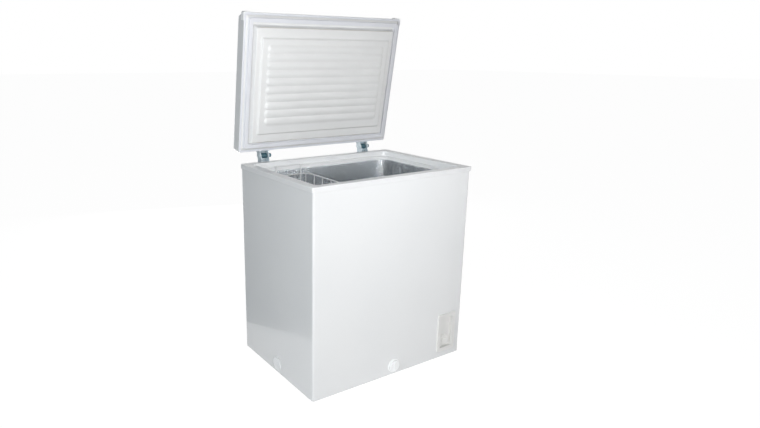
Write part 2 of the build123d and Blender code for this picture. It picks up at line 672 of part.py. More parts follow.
def lid_body(inset, low, high):
    """The lid's outer form, or its hollow when inset, with the leaning front."""
    body = lid_block(inset, inset, inset, low, high, LID_CORNER - inset)
    lean_low = lid_low + LID_LIP
    back = lid_front + inset
    over = 40.0
    rise = lid_top - lean_low
    top_shift = LID_FRONT_SLOPE * (rise + over) / rise
    wedge = Polyline((back, lean_low), (back + top_shift, lean_low + rise + over),
                     (back - over, lean_low + rise + over), (back - over, lean_low), close=True)
    cutter = extrude(Plane.YZ * make_face(wedge), lid_width, both=True)
    return body - cutter


def lid_shell():
    """Painted lid skin, open below, with a narrow hem turned in."""
    outside = lid_body(0, lid_low, lid_top)
    top_edges = outside.faces().sort_by(Axis.Z)[-1].outer_wire().edges()
    outside = fillet(top_edges, LID_EDGE)
    hollow = lid_body(LID_SHEET, lid_low + LINER_SKIN, lid_top - LID_SHEET)
    mouth = lid_block(LID_HEM, LID_HEM, LID_HEM, lid_low - 1, lid_low + LINER_SKIN + 1, 4)
    return outside - hollow - mouth


def step(insets, drop_from, drop_to, shrink):
    """Tapering block that hangs from the lid: insets are side, front, rear."""
    side, near, far = (value + shrink for value in insets)
    upper = lid_plan(side, near, far, STEP_CORNER, lid_low - drop_from)
    lower = lid_plan(side + STEP_DRAFT, near + STEP_DRAFT, far + STEP_DRAFT, STEP_CORNER,
                     lid_low - drop_to)
    return loft([lower.face(), upper.face()])


def lid_plan(side, near, far, radius, z):
    plan = RectangleRounded(lid_width - 2 * side, lid_depth - near - far, radius)
    return Pos(0, lid_middle + (near - far) / 2, z) * plan


def plug(shrink, lift):
    """The two raised steps of the inner lid, or a smaller block that fits inside them."""
    body = step(STEP_ONE_INSETS, -lift, STEP_ONE_DROP - lift, shrink)
    overlap = 1.0 if shrink > 0 else 0.0
    body += step(STEP_TWO_INSETS, STEP_ONE_DROP - lift - overlap,
                 STEP_ONE_DROP + STEP_TWO_DROP - lift, shrink)
    return body


def lid_ribs():
    """Shallow round ribs across the inner lid's lower face."""
    chord = RIB_PITCH - 1.0
    radius = (chord ** 2 / 4 + RIB_RISE ** 2) / (2 * RIB_RISE)
    plateau = lid_low - STEP_ONE_DROP - STEP_TWO_DROP
    length = lid_width - 2 * RIB_INSET
    ribs = []
    for rib in range(RIB_COUNT):
        y = lid_rear - RIB_FIRST - (rib + 0.5) * RIB_PITCH
        bar = along_x(radius, -length / 2, length / 2, y, plateau + radius - RIB_RISE)
        trim = Pos(0, y, plateau - 2 * RIB_RISE) * extrude(SlotOverall(length, chord), 2 * RIB_RISE)
        ribs.append(bar & trim)
    return ribs


def lid_liner():
    """Vacuum-formed inner lid: border, two steps and ten ribs."""
    inset = LID_HEM + SEAT
    liner = lid_block(inset, inset, inset, lid_low, lid_low + LINER_SKIN, 4)
    liner += plug(0, 0)
    liner -= plug(STEP_SKIN, LINER_SKIN)
    for rib in lid_ribs():
        liner += rib
    return liner


def lid_foam():
    """Insulation that fills the lid."""
    body = lid_body(LID_SHEET + SEAT, lid_low + LINER_SKIN + SEAT, lid_top - LID_SHEET - SEAT)
    return body + plug(STEP_SKIN + SEAT, LINER_SKIN + SEAT)


def lid_gasket():
    """Magnetic seal: a wide foot on the inner lid and a narrower head."""
    def band(inset, width, low, high):
        outer = lid_block(inset, inset, inset, low, high, 10)
        return outer - lid_block(inset + width, inset + width, inset + width, low - 1, high + 1, 6)

    foot_low = lid_low - GASKET_FOOT
    foot = band(GASKET_INSET, GASKET_WIDTH, foot_low, lid_low)
    head = band(GASKET_INSET + GASKET_STEP, GASKET_WIDTH - 2 * GASKET_STEP, RIM_TOP + FIT, foot_low)
    return foot + head


def lid_corner_caps():
    """Small moulded caps that hug the two front corners of the lid."""
    x0 = -lid_width / 2 - CAP_SKIN
    y0 = lid_front - CAP_SKIN
    cap = span(x0, x0 + CAP_REACH, y0, y0 + CAP_REACH, lid_low, lid_low + CAP_HEIGHT)
    corner = cap.edges().filter_by(Axis.Z).sort_by(lambda e: e.center().X + e.center().Y)[0]
    cap = fillet(corner, LID_CORNER)
    cap -= lid_body(-SEAT, lid_low - 5, lid_top)
    largest = cap.solids().sort_by(SortBy.VOLUME)[-1]
    return group(mirrored(largest))


# ---------------------------------------------------------------- hinges
def hinge_bracket():
    """Cabinet half: channel with two ears, a back web and screw flanges."""
    ear_in = BRACKET_EAR - BRACKET_SHEET
    seat_y = half_depth
    back = pivot_y + BRACKET_EYE
    ear_low = BRACKET_LOW + BRACKET_TAPER
    flange_top = rim_low - BRACKET_UNDER_RIM
    outline = Polyline((seat_y, BRACKET_LOW), (seat_y, flange_top), (rim_back + 1, flange_top),
                       (rim_back + 1, RIM_TOP - 6), (pivot_y - BRACKET_EYE, pivot_z),
                       (back, pivot_z), (back, ear_low), (seat_y, BRACKET_LOW))
    ear_face = make_face(outline)
    side = extrude(Plane.YZ * ear_face, BRACKET_SHEET)
    side += along_x(BRACKET_EYE, 0, BRACKET_SHEET, pivot_y, pivot_z)
    bracket = Pos(hinge_x + ear_in, 0, 0) * side + Pos(hinge_x - BRACKET_EAR, 0, 0) * side
    bracket += span(hinge_x - BRACKET_EAR, hinge_x + BRACKET_EAR, back - BRACKET_SHEET, back,
                    ear_low + 2, pivot_z - 12)
    for direction in (-1, 1):
        inner = hinge_x + direction * ear_in
        outer = hinge_x + direction * (BRACKET_EAR + BRACKET_FLANGE)
        flange = span(min(inner, outer), max(inner, outer), seat_y, seat_y + BRACKET_SHEET,
                      BRACKET_LOW, flange_top)
        bracket += flange
    for x, z in bracket_screw_points():
        bracket -= along_y(SCREW_RADIUS + SEAT, x, seat_y - 1, seat_y + 5, z)
    return bracket - along_x(PIN_RADIUS + SEAT, hinge_x - 30, hinge_x + 30, pivot_y, pivot_z)


def bracket_screw_points():
    offset = BRACKET_EAR + BRACKET_FLANGE / 2
    return [(hinge_x + side * offset, BRACKET_LOW + up) for side in (-1, 1)
            for up in BRACKET_SCREW_HEIGHTS]


def hinge_screws():
    """Screws of both cabinet brackets."""
    solids = []
    for x, z in bracket_screw_points():
        face = half_depth + BRACKET_SHEET
        screw = along_y(SCREW_HEAD_RADIUS, x, face, face + SCREW_HEAD, z)
        screw += along_y(SCREW_RADIUS, x, half_depth, face, z)
        solids += mirrored(screw)
    return group(solids)


def lid_arm():
    """Lid half: plate under screws, two ears and a hood over the pin."""
    reach = ARM_EAR + ARM_SHEET
    plate_high = lid_top - 6
    arm_low = pivot_z - ARM_EYE
    plate_low = lid_low + 3
    arm = span(hinge_x - reach - ARM_FLANGE, hinge_x + reach + ARM_FLANGE, lid_rear,
               lid_rear + ARM_SHEET, plate_low, plate_high)
    outline = Polyline((lid_rear, plate_low), (lid_rear, plate_high),
                       (pivot_y - 6, pivot_z + ARM_HOOD + ARM_SHEET),
                       (pivot_y + 5, pivot_z + ARM_HOOD + ARM_SHEET), (pivot_y + ARM_EYE, pivot_z),
                       (pivot_y, arm_low), (lid_rear, plate_low))
    ear = extrude(Plane.YZ * make_face(outline), ARM_SHEET)
    ear += along_x(ARM_EYE, 0, ARM_SHEET, pivot_y, pivot_z)
    arm += Pos(hinge_x + ARM_EAR, 0, 0) * ear + Pos(hinge_x - reach, 0, 0) * ear
    arm += span(hinge_x - reach, hinge_x + reach, lid_rear, pivot_y + 5, pivot_z + ARM_HOOD,
                pivot_z + ARM_HOOD + ARM_SHEET)
    for x, z in arm_screw_points():
        arm -= along_y(SCREW_RADIUS + SEAT, x, lid_rear - 1, lid_rear + 5, z)
    return arm - along_x(PIN_RADIUS + SEAT, hinge_x - 30, hinge_x + 30, pivot_y, pivot_z)


def arm_screw_points():
    offset = ARM_EAR + ARM_SHEET + ARM_FLANGE / 2
    return [(hinge_x + side * offset, lid_low + up) for side in (-1, 1)
            for up in ARM_SCREW_HEIGHTS]


def lid_screws():
    """Screws of both lid arms."""
    solids = []
    for x, z in arm_screw_points():
        face = lid_rear + ARM_SHEET
        screw = along_y(SCREW_HEAD_RADIUS, x, face, face + SCREW_HEAD, z)
        screw += along_y(SCREW_RADIUS, x, lid_rear, face, z)
        solids += mirrored(screw)
    return group(solids)


def hinge_pin():
    """Headed pin through both halves of one hinge, with a nut at its right end."""
    reach = ARM_EAR + ARM_SHEET + FIT
    pin = along_x(PIN_RADIUS, hinge_x - reach, hinge_x + reach, pivot_y, pivot_z)
    for x in (hinge_x - reach - PIN_HEAD, hinge_x + reach):
        pin += along_x(PIN_HEAD_RADIUS, x, x + PIN_HEAD, pivot_y, pivot_z)
    nut = extrude(RegularPolygon(PIN_NUT_RADIUS, 6), PIN_NUT)
    return pin + Pos(hinge_x + reach + PIN_HEAD, pivot_y, pivot_z) * Rot(0, 90, 0) * nut


def hinge_spring():
    """Torsion spring round the pin, between the bracket's ears."""
    height = 2 * (BRACKET_EAR - BRACKET_SHEET) - 2 * SPRING_WIRE - 1.0
    coil = Helix(height / SPRING_TURNS, height, SPRING_RADIUS)
    start = Plane(coil @ 0, z_dir=coil % 0) * Circle(SPRING_WIRE)
    spring = sweep(start, path=coil, is_frenet=True)
    return Pos(hinge_x - height / 2, pivot_y, pivot_z) * Rot(0, 90, 0) * spring


# ---------------------------------------------------------------- basket pieces
def basket_outline(z, radius):
    """Closed wire bar round the basket, with wide corners against the tank."""
    half = rail_y
    wide = BASKET_LEFT_CORNER
    tight = BASKET_RIGHT_CORNER
    line = Polyline((rail_left + wide, -half), (rail_right - tight, -half))
    line += RadiusArc((rail_right - tight, -half), (rail_right, -half + tight), -tight)
    line += Line((rail_right, -half + tight), (rail_right, half - tight))
    line += RadiusArc((rail_right, half - tight), (rail_right - tight, half), -tight)
    line += Line((rail_right - tight, half), (rail_left + wide, half))
    line += RadiusArc((rail_left + wide, half), (rail_left, half - wide), -wide)
    line += Line((rail_left, half - wide), (rail_left, -half + wide))
    line += RadiusArc((rail_left, -half + wide), (rail_left + wide, -half), -wide)
    path = Wire(line.edges()).moved(Location((0, 0, z)))
    return sweep(Plane(path @ 0, z_dir=path % 0) * Circle(radius), path=path)


def basket_top_rail():
    return basket_outline(rail_z, RAIL_RADIUS)


def spread(low, high, pitch):
    """Evenly spaced places that fill a stretch, about one pitch apart."""
    count = max(1, round((high - low) / pitch))
    return [low + (high - low) * i / count for i in range(count + 1)]


def basket_end(sign):
    """Front or back wall: upright wires and two long ones."""
    low = rail_left + BASKET_LEFT_CORNER
    high = rail_right - BASKET_RIGHT_CORNER
    y = sign * rail_y
    wall = along_x(WIRE_RADIUS, low - 4, high + 4, y, basket_floor_z + BASKET_HEIGHT / 3)
    wall += along_x(WIRE_RADIUS, low - 4, high + 4, y, basket_floor_z + 2 * BASKET_HEIGHT / 3)
    for x in spread(low, high, BASKET_PITCH_X):
        wall += along_z(WIRE_RADIUS * 0.98, x, y, wall_low, wall_high)
    return wall


def basket_side(x, corner):
    """Left or right wall: upright wires and two long ones."""
    reach = rail_y - corner + 4
    high = rail_y - BASKET_LEFT_CORNER
    wall = along_y(WIRE_RADIUS, x, -reach, reach, basket_floor_z + BASKET_HEIGHT / 3)
    wall += along_y(WIRE_RADIUS, x, -reach, reach, basket_floor_z + 2 * BASKET_HEIGHT / 3)
    for y in spread(-high, high, BASKET_PITCH_Y):
        wall += along_z(WIRE_RADIUS * 0.98, x, y, wall_low, wall_high)
    return wall


def basket_floor():
    """Bottom loop with its cross wires."""
    floor = basket_outline(basket_floor_z, RAIL_RADIUS)
    for y in spread(-rail_y + BASKET_LEFT_CORNER, rail_y - BASKET_LEFT_CORNER, BASKET_PITCH_Y):
        floor += along_x(WIRE_RADIUS, rail_left, rail_right, y, basket_floor_z)
    for x in spread(rail_left + BASKET_LEFT_CORNER, rail_right - BASKET_RIGHT_CORNER,
                    BASKET_PITCH_X):
        floor += along_y(WIRE_RADIUS * 0.98, x, -rail_y, rail_y, basket_floor_z)
    return floor


def basket_hanger(sign):
    """Bent wire that hooks over the mouth frame's ledge and serves as a handle."""
    inner = sign * hanger_y
    outer = sign * (hanger_y + HANGER_REACH)
    low = hanger_z - HANGER_DROP
    points = [(hanger_left, inner, low), (hanger_left, inner, hanger_z),
              (hanger_left, outer, hanger_z), (hanger_right, outer, hanger_z),
              (hanger_right, inner, hanger_z), (hanger_right, inner, low)]
    return tube(points, RAIL_RADIUS, HANGER_BEND)


# ---------------------------------------------------------------- assembly
def fixed_nodes():
    bracket = hinge_bracket()
    pin = hinge_pin()
    spring = hinge_spring()
    nodes = {
        "outer_shell": outer_shell(),
        "back_panel": back_panel(),
        "base_plate": base_plate(),
        "feet": feet(),
        "cabinet_foam": cabinet_foam(),
        "inner_liner": inner_liner(),
        "top_rim": top_rim(),
        "evaporator_tube": evaporator_tube(),
        "condenser_tube": condenser_tube(),
        "compressor": compressor(),
        "compressor_mounts": compressor_mounts(),
        "compressor_bolts": compressor_bolts(),
        "start_relay": start_relay(),
        "filter_drier": filter_drier(),
        "vent_grille": vent_grille(),
        "cord_gland": cord_gland(),
        "panel_screws": panel_screws(),
        "control_panel": control_panel(),
        "thermostat_body": thermostat_body(),
        "thermostat_shaft": thermostat_shaft(),
        "thermostat_knob": thermostat_knob(),
        "drain_collar": drain_collar(),
        "drain_spout": drain_spout(),
        "drain_dial": drain_dial(),
        "drain_tube": drain_tube(),
        "floor_plug": floor_plug(),
        "side_cap": side_cap(),
        "hinge_screws": hinge_screws(),
        "basket_top_rail": basket_top_rail(),
        "basket_floor": basket_floor(),
        "basket_front": basket_end(-1),
        "basket_back": basket_end(1),
        "basket_left": basket_side(rail_left, BASKET_LEFT_CORNER),
        "basket_right": basket_side(rail_right, BASKET_RIGHT_CORNER),
        "basket_front_hanger": basket_hanger(-1),
        "basket_back_hanger": basket_hanger(1),
    }
    for name, piece in (("hinge_bracket", bracket), ("hinge_pin", pin), ("hinge_spring", spring)):
        nodes[name + "_right"] = piece
        nodes[name + "_left"] = Pos(-2 * hinge_x, 0, 0) * piece
    return nodes


def lid_nodes():
    """The lid's pieces, turned open about the hinge pins."""
    right, left = mirrored(lid_arm())
    nodes = {
        "lid_shell": lid_shell(),
        "lid_foam": lid_foam(),
        "lid_liner": lid_liner(),
        "lid_gasket": lid_gasket(),
        "lid_corner_caps": lid_corner_caps(),
        "lid_arm_right": right,
        "lid_arm_left": left,
        "lid_screws": lid_screws(),
    }
    return {name: shape.rotate(hinge_axis, -LID_OPEN_ANGLE) for name, shape in nodes.items()}


def main():
    nodes = {**fixed_nodes(), **lid_nodes()}
    boxes = [shape.bounding_box() for shape in nodes.values()]
    shift_y = -(min(box.min.Y for box in boxes) + max(box.max.Y for box in boxes)) / 2
    os.makedirs("parts", exist_ok=True)
    for name, shape in nodes.items():
        export_step(Pos(0, shift_y, 0) * shape, f"parts/{name}.step")
    print(f"hinge axis at y {pivot_y + shift_y:.3f}, z {pivot_z:.3f}; moved by {shift_y:.3f}")
    return shift_y


shift = main()
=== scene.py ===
import json
import math

import bmesh
import bpy
from mathutils import Matrix, Vector, noise


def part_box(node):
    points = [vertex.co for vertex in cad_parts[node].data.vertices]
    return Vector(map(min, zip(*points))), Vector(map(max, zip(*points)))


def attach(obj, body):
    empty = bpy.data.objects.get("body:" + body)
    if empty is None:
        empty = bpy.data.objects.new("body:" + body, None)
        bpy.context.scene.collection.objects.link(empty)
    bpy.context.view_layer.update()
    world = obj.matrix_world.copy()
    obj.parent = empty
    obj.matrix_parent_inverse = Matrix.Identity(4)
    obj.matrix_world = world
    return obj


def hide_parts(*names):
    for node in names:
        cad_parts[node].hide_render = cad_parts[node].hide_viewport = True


# Looks for a chest freezer with its lid open. Metres, Z up, front towards -Y.
# Lengths named in capitals are in millimetres unless they say otherwise.

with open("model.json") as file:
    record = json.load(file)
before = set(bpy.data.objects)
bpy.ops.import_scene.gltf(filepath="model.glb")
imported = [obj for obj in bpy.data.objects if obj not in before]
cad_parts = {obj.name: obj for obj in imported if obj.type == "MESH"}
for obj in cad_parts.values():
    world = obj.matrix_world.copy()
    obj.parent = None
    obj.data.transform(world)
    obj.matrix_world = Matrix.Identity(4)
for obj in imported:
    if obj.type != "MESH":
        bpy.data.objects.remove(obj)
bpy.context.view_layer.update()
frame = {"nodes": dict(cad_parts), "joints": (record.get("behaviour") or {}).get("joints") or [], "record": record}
nodes = frame["nodes"]
joints = {joint["name"]: joint for joint in frame["joints"]}

MM = 0.001


# ------------------------------------------------------------------ places
shell_low, shell_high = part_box("outer_shell")
rim_low, rim_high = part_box("top_rim")
liner_low, liner_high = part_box("inner_liner")
cabinet_y = (shell_low.y + shell_high.y) / 2
hinge = joints["lid_hinge"]
hinge_place = Vector(hinge["pos_m"])
open_angle = math.radians(max(abs(value) for value in hinge["range_deg"]))
lid_turn = (Matrix.Translation(hinge_place) @ Matrix.Rotation(-open_angle, 4, "X")
            @ Matrix.Translation(-hinge_place))


def shut_box(name):
    """A lid node's lowest and highest corners with the lid turned shut."""
    back = lid_turn.inverted()
    places = [back @ vertex.co for vertex in nodes[name].data.vertices]
    low = Vector([min(place[i] for place in places) for i in range(3)])
    high = Vector([max(place[i] for place in places) for i in range(3)])
    return low, high


def add_object(name, data):
    """A new object that holds the data, linked to the scene."""
    thing = bpy.data.objects.new(name, data)
    bpy.context.scene.collection.objects.link(thing)
    return thing


def evaluated_mesh(thing):
    """A new mesh of an object as its modifiers or its wire's thickness make it."""
    graph = bpy.context.evaluated_depsgraph_get()
    return bpy.data.meshes.new_from_object(thing.evaluated_get(graph))


# ------------------------------------------------------------------ camera
CAMERA_PLACE = Vector((-1.3978, -1.8723, 1.2165))   # metres, from the cabinet's middle at the floor
CAMERA_YAW = math.radians(33.417)
CAMERA_PITCH = math.radians(-15.084)
CAMERA_ROLL = math.radians(0.298)
SENSOR = 36.0
LENS = 28.42
SHIFT_X = 0.0782           # parts of the sensor's width, as is the next one
SHIFT_Y = 0.0040


def make_camera():
    data = bpy.data.cameras.new("camera")
    data.sensor_width = SENSOR
    data.lens = LENS
    data.shift_x = SHIFT_X
    data.shift_y = SHIFT_Y
    camera = add_object("camera", data)
    camera.location = CAMERA_PLACE + Vector((0, cabinet_y, 0))
    turn = Matrix.Rotation(-CAMERA_YAW, 3, "Z") @ Matrix.Rotation(CAMERA_PITCH + math.pi / 2, 3, "X")
    camera.rotation_euler = (turn @ Matrix.Rotation(CAMERA_ROLL, 3, "Z")).to_euler()
    bpy.context.scene.camera = camera


# ------------------------------------------------------------------ light
def area_light(name, place, target, size, power, colour=(1.0, 1.0, 1.0)):
    data = bpy.data.lights.new(name, "AREA")
    data.shape = "RECTANGLE"
    data.size, data.size_y = size
    data.energy = power
    data.color = colour
    lamp = add_object(name, data)
    lamp.location = place
    lamp.rotation_euler = (Vector(target) - Vector(place)).to_track_quat("-Z", "Y").to_euler()
    lamp.visible_camera = False


LAMP_AIM = 0.62            # metres above the floor


def make_lamps():
    """Two warm lamps in front, cool ones at the left and near, one behind, one for the mouth."""
    target = (0.0, cabinet_y, LAMP_AIM)
    area_light("key", (-1.6, cabinet_y - 2.3, 1.3), target, (1.3, 1.3), 22.0, (1.0, 0.98, 0.955))
    area_light("far", (-2.4, cabinet_y - 3.6, 1.6), target, (2.0, 2.0), 23.0, (1.0, 0.985, 0.965))
    area_light("left", (-2.4, cabinet_y - 0.95, 1.25), target, (1.5, 1.5), 19.5, (0.87, 0.95, 1.0))
    area_light("near", (0.0, cabinet_y - 1.3, 1.05), target, (0.6, 0.6), 7.0, (0.97, 0.985, 1.0))
    area_light("rear", (0.9, cabinet_y + 2.6, 0.45), (0.0, cabinet_y, 0.75), (2.2, 0.6), 30.0)
    area_light("mouth", (-0.55, cabinet_y - 0.35, 1.35), (0.33, cabinet_y + 0.10, 0.70),
               (0.3, 0.3), 0.6)


def white_to_camera(tree, seen, other):
    """Shows seen to camera, glossy and transmission rays, and other to the rest."""
    path = tree.nodes.new("ShaderNodeLightPath")
    rays = path.outputs["Is Camera Ray"]
    for kind in ("Is Glossy Ray", "Is Transmission Ray"):
        either = tree.nodes.new("ShaderNodeMath")
        either.operation = "MAXIMUM"
        tree.links.new(rays, either.inputs[0])
        tree.links.new(path.outputs[kind], either.inputs[1])
        rays = either.outputs[0]
    mix = tree.nodes.new("ShaderNodeMixShader")
    tree.links.new(rays, mix.inputs[0])
    tree.links.new(other.outputs[0], mix.inputs[1])
    tree.links.new(seen.outputs[0], mix.inputs[2])
    return mix


def shining(tree, kind, colour, strength=1.0):
    """A background or emission node of a colour and a strength."""
    node = tree.nodes.new(kind)
    node.inputs["Color"].default_value = (*colour, 1)
    node.inputs["Strength"].default_value = strength
    return node


WHITE = (1.0, 1.0, 1.0)
AMBIENT_COLOUR = (0.93, 0.965, 1.0)
AMBIENT_SIDE = 0.10        # strength at the horizon and below
AMBIENT_TOP = 0.06
AMBIENT_RISE = 0.8         # height on the unit sphere from which the top's strength holds


def make_world():
    """White all round where it is seen; as light, dim above and brighter at the sides."""
    world = bpy.data.worlds.new("world")
    bpy.context.scene.world = world
    world.use_nodes = True
    tree = world.node_tree
    tree.nodes.clear()
    seen = shining(tree, "ShaderNodeBackground", WHITE)
    other = shining(tree, "ShaderNodeBackground", AMBIENT_COLOUR)
    place = tree.nodes.new("ShaderNodeTexCoord")
    split = tree.nodes.new("ShaderNodeSeparateXYZ")
    tree.links.new(place.outputs["Generated"], split.inputs[0])
    height = tree.nodes.new("ShaderNodeMapRange")
    height.inputs["From Min"].default_value = 0.0
    height.inputs["From Max"].default_value = AMBIENT_RISE
    height.inputs["To Min"].default_value = AMBIENT_SIDE
    height.inputs["To Max"].default_value = AMBIENT_TOP
    tree.links.new(split.outputs["Z"], height.inputs["Value"])
    tree.links.new(height.outputs["Result"], other.inputs["Strength"])
    out = tree.nodes.new("ShaderNodeOutputWorld")
    tree.links.new(white_to_camera(tree, seen, other).outputs[0], out.inputs["Surface"])


def blank_material(name, mesh):
    """A mesh's new material with an empty node tree, and its output socket."""
    material = bpy.data.materials.new(name)
    material.use_nodes = True
    tree = material.node_tree
    tree.nodes.clear()
    mesh.materials.append(material)
    return tree, tree.nodes.new("ShaderNodeOutputMaterial").inputs["Surface"]


def matte(tree, grey):
    node = tree.nodes.new("ShaderNodeBsdfDiffuse")
    node.inputs["Color"].default_value = (grey, grey, grey, 1)
    return node


FLOOR_HALF = 40.0          # metres
FLOOR_GREY = 0.9           # how much light it throws back on the freezer
FLOOR_GLOW = 0.975         # what it shows of itself
FLOOR_FAINT = 0.10         # what it shows of the light and shadow on it


def make_floor():
    """Pale floor that shows white, and keeps a soft shadow."""
    mesh = bpy.data.meshes.new("floor")
    build = bmesh.new()
    bmesh.ops.create_grid(build, x_segments=1, y_segments=1, size=FLOOR_HALF)
    build.to_mesh(mesh)
    build.free()
    floor = add_object("floor", mesh)
    tree, surface = blank_material("floor", mesh)
    both = tree.nodes.new("ShaderNodeAddShader")
    glow = shining(tree, "ShaderNodeEmission", WHITE, FLOOR_GLOW)
    tree.links.new(glow.outputs[0], both.inputs[0])
    tree.links.new(matte(tree, FLOOR_FAINT).outputs[0], both.inputs[1])
    tree.links.new(white_to_camera(tree, both, matte(tree, FLOOR_GREY)).outputs[0], surface)


CARD_START = Vector((-1.15, -0.85, 0.0))     # metres, from the cabinet's middle
CARD_END = Vector((-0.30, 0.85, 0.0))
CARD_HEIGHT = 2.4          # metres
CARD_COLOUR = (0.9, 0.96, 1.0)
CARD_GLOW = 0.25


def make_card():
    """Dark glowing sheet that only reflections see, beside the left wall: a painted reflection that darkens the
    white floor seen in the left wall's paint.
    """
    up = Vector((0, 0, CARD_HEIGHT))
    shift = Vector((0, cabinet_y, 0))
    start, end = CARD_START + shift, CARD_END + shift
    mesh = bpy.data.meshes.new("card")
    mesh.from_pydata([start, end, end + up, start + up], [], [(0, 1, 2, 3)])
    card = add_object("card", mesh)
    tree, surface = blank_material("card", mesh)
    tree.links.new(shining(tree, "ShaderNodeEmission", CARD_COLOUR, CARD_GLOW).outputs[0], surface)
    card.visible_camera = False
    card.visible_diffuse = False
    card.visible_shadow = False
    card.visible_transmission = False


# ------------------------------------------------------------------ materials
COAT_ROUGHNESS = 0.04
RAMP_LOW = 0.3             # noise below this has the first colour
RAMP_HIGH = 0.7


def new_material(name, colour, roughness, metallic=0.0, coat=0.0):
    material = bpy.data.materials.new(name)
    material.use_nodes = True
    shader = material.node_tree.nodes["Principled BSDF"]
    shader.inputs["Base Color"].default_value = (*colour, 1)
    shader.inputs["Roughness"].default_value = roughness
    shader.inputs["Metallic"].default_value = metallic
    shader.inputs["Coat Weight"].default_value = coat
    shader.inputs["Coat Roughness"].default_value = COAT_ROUGHNESS
    return material, material.node_tree, shader


def noise_texture(tree, scale, detail=2.0, rough=0.5):
    place = tree.nodes.new("ShaderNodeTexCoord")
    texture = tree.nodes.new("ShaderNodeTexNoise")
    texture.inputs["Scale"].default_value = scale
    texture.inputs["Detail"].default_value = detail
    texture.inputs["Roughness"].default_value = rough
    tree.links.new(place.outputs["Object"], texture.inputs["Vector"])
    return texture


def add_bump(tree, shader, height, strength, distance):
    bump = tree.nodes.new("ShaderNodeBump")
    bump.inputs["Strength"].default_value = strength
    bump.inputs["Distance"].default_value = distance
    tree.links.new(height, bump.inputs["Height"])
    tree.links.new(bump.outputs[0], shader.inputs["Normal"])


def vary_colour(tree, shader, source, low, high):
    ramp = tree.nodes.new("ShaderNodeValToRGB")
    first, second = ramp.color_ramp.elements
    first.position = RAMP_LOW
    first.color = (*low, 1)
    second.position = RAMP_HIGH
    second.color = (*high, 1)
    tree.links.new(source, ramp.inputs["Fac"])
    tree.links.new(ramp.outputs["Color"], shader.inputs["Base Color"])


def vary_roughness(tree, shader, source, low, high):
    span = tree.nodes.new("ShaderNodeMapRange")
    span.inputs["To Min"].default_value = low
    span.inputs["To Max"].default_value = high
    tree.links.new(source, span.inputs["Value"])
    tree.links.new(span.outputs["Result"], shader.inputs["Roughness"])


def painted_steel():
    """Glossy white stove enamel with a trace of orange peel."""
    material, tree, shader = new_material("white_paint", (0.78, 0.785, 0.79), 0.22, coat=0.4)
    broad = noise_texture(tree, scale=3.0)
    vary_colour(tree, shader, broad.outputs["Fac"], (0.765, 0.773, 0.781), (0.785, 0.79, 0.795))
    fine = noise_texture(tree, scale=260.0)
    vary_roughness(tree, shader, fine.outputs["Fac"], 0.17, 0.27)
    add_bump(tree, shader, fine.outputs["Fac"], strength=0.05, distance=0.0004)
    return material


def moulded_plastic(name, low, high, roughness):
    """Satin moulded plastic with a fine grain."""
    material, tree, shader = new_material(name, high, roughness)
    broad = noise_texture(tree, scale=9.0)
    vary_colour(tree, shader, broad.outputs["Fac"], low, high)
    fine = noise_texture(tree, scale=900.0, detail=3.0, rough=0.6)
    vary_roughness(tree, shader, fine.outputs["Fac"], roughness - 0.06, roughness + 0.08)
    add_bump(tree, shader, fine.outputs["Fac"], strength=0.08, distance=0.0002)
    return material


def embossed_aluminium():
    """Bare aluminium sheet embossed in small pebbles. Its colour follows the bump's noise, lighter on the pebbles
    and darker in the valleys between them: painted highlight and painted shade.
    """
    material, tree, shader = new_material("embossed_aluminium", (0.80, 0.83, 0.85), 0.3,
                                          metallic=1.0)
    pebbles = noise_texture(tree, scale=215.0, detail=1.0)
    # Painted highlight and painted shade: the pebbles' tops get the light colour and the valleys the dark one.
    vary_colour(tree, shader, pebbles.outputs["Fac"], (0.22, 0.26, 0.30), (0.93, 0.945, 0.955))
    grain = noise_texture(tree, scale=420.0, detail=3.0)
    vary_roughness(tree, shader, grain.outputs["Fac"], 0.20, 0.30)
    add_bump(tree, shader, pebbles.outputs["Fac"], strength=0.85, distance=0.0032)
    return material


def metal(name, low, high, roughness, metallic=1.0):
    """Bare or plated metal with a cloudy colour and a fine grain."""
    material, tree, shader = new_material(name, high, roughness, metallic)
    cloud = noise_texture(tree, scale=60.0, detail=3.0)
    vary_colour(tree, shader, cloud.outputs["Fac"], low, high)
    grain = noise_texture(tree, scale=450.0)
    vary_roughness(tree, shader, grain.outputs["Fac"], roughness - 0.08, roughness + 0.12)
    add_bump(tree, shader, grain.outputs["Fac"], strength=0.12, distance=0.0002)
    return material


def dull(name, low, high, roughness, scale):
    """Rubber, foam and dark paint: broken colour and a coarse grain."""
    material, tree, shader = new_material(name, high, roughness)
    cloud = noise_texture(tree, scale, detail=4.0)
    vary_colour(tree, shader, cloud.outputs["Fac"], low, high)
    grain = noise_texture(tree, scale * 8)
    vary_roughness(tree, shader, grain.outputs["Fac"], roughness - 0.1, roughness + 0.08)
    add_bump(tree, shader, grain.outputs["Fac"], strength=0.2, distance=0.0003)
    return material


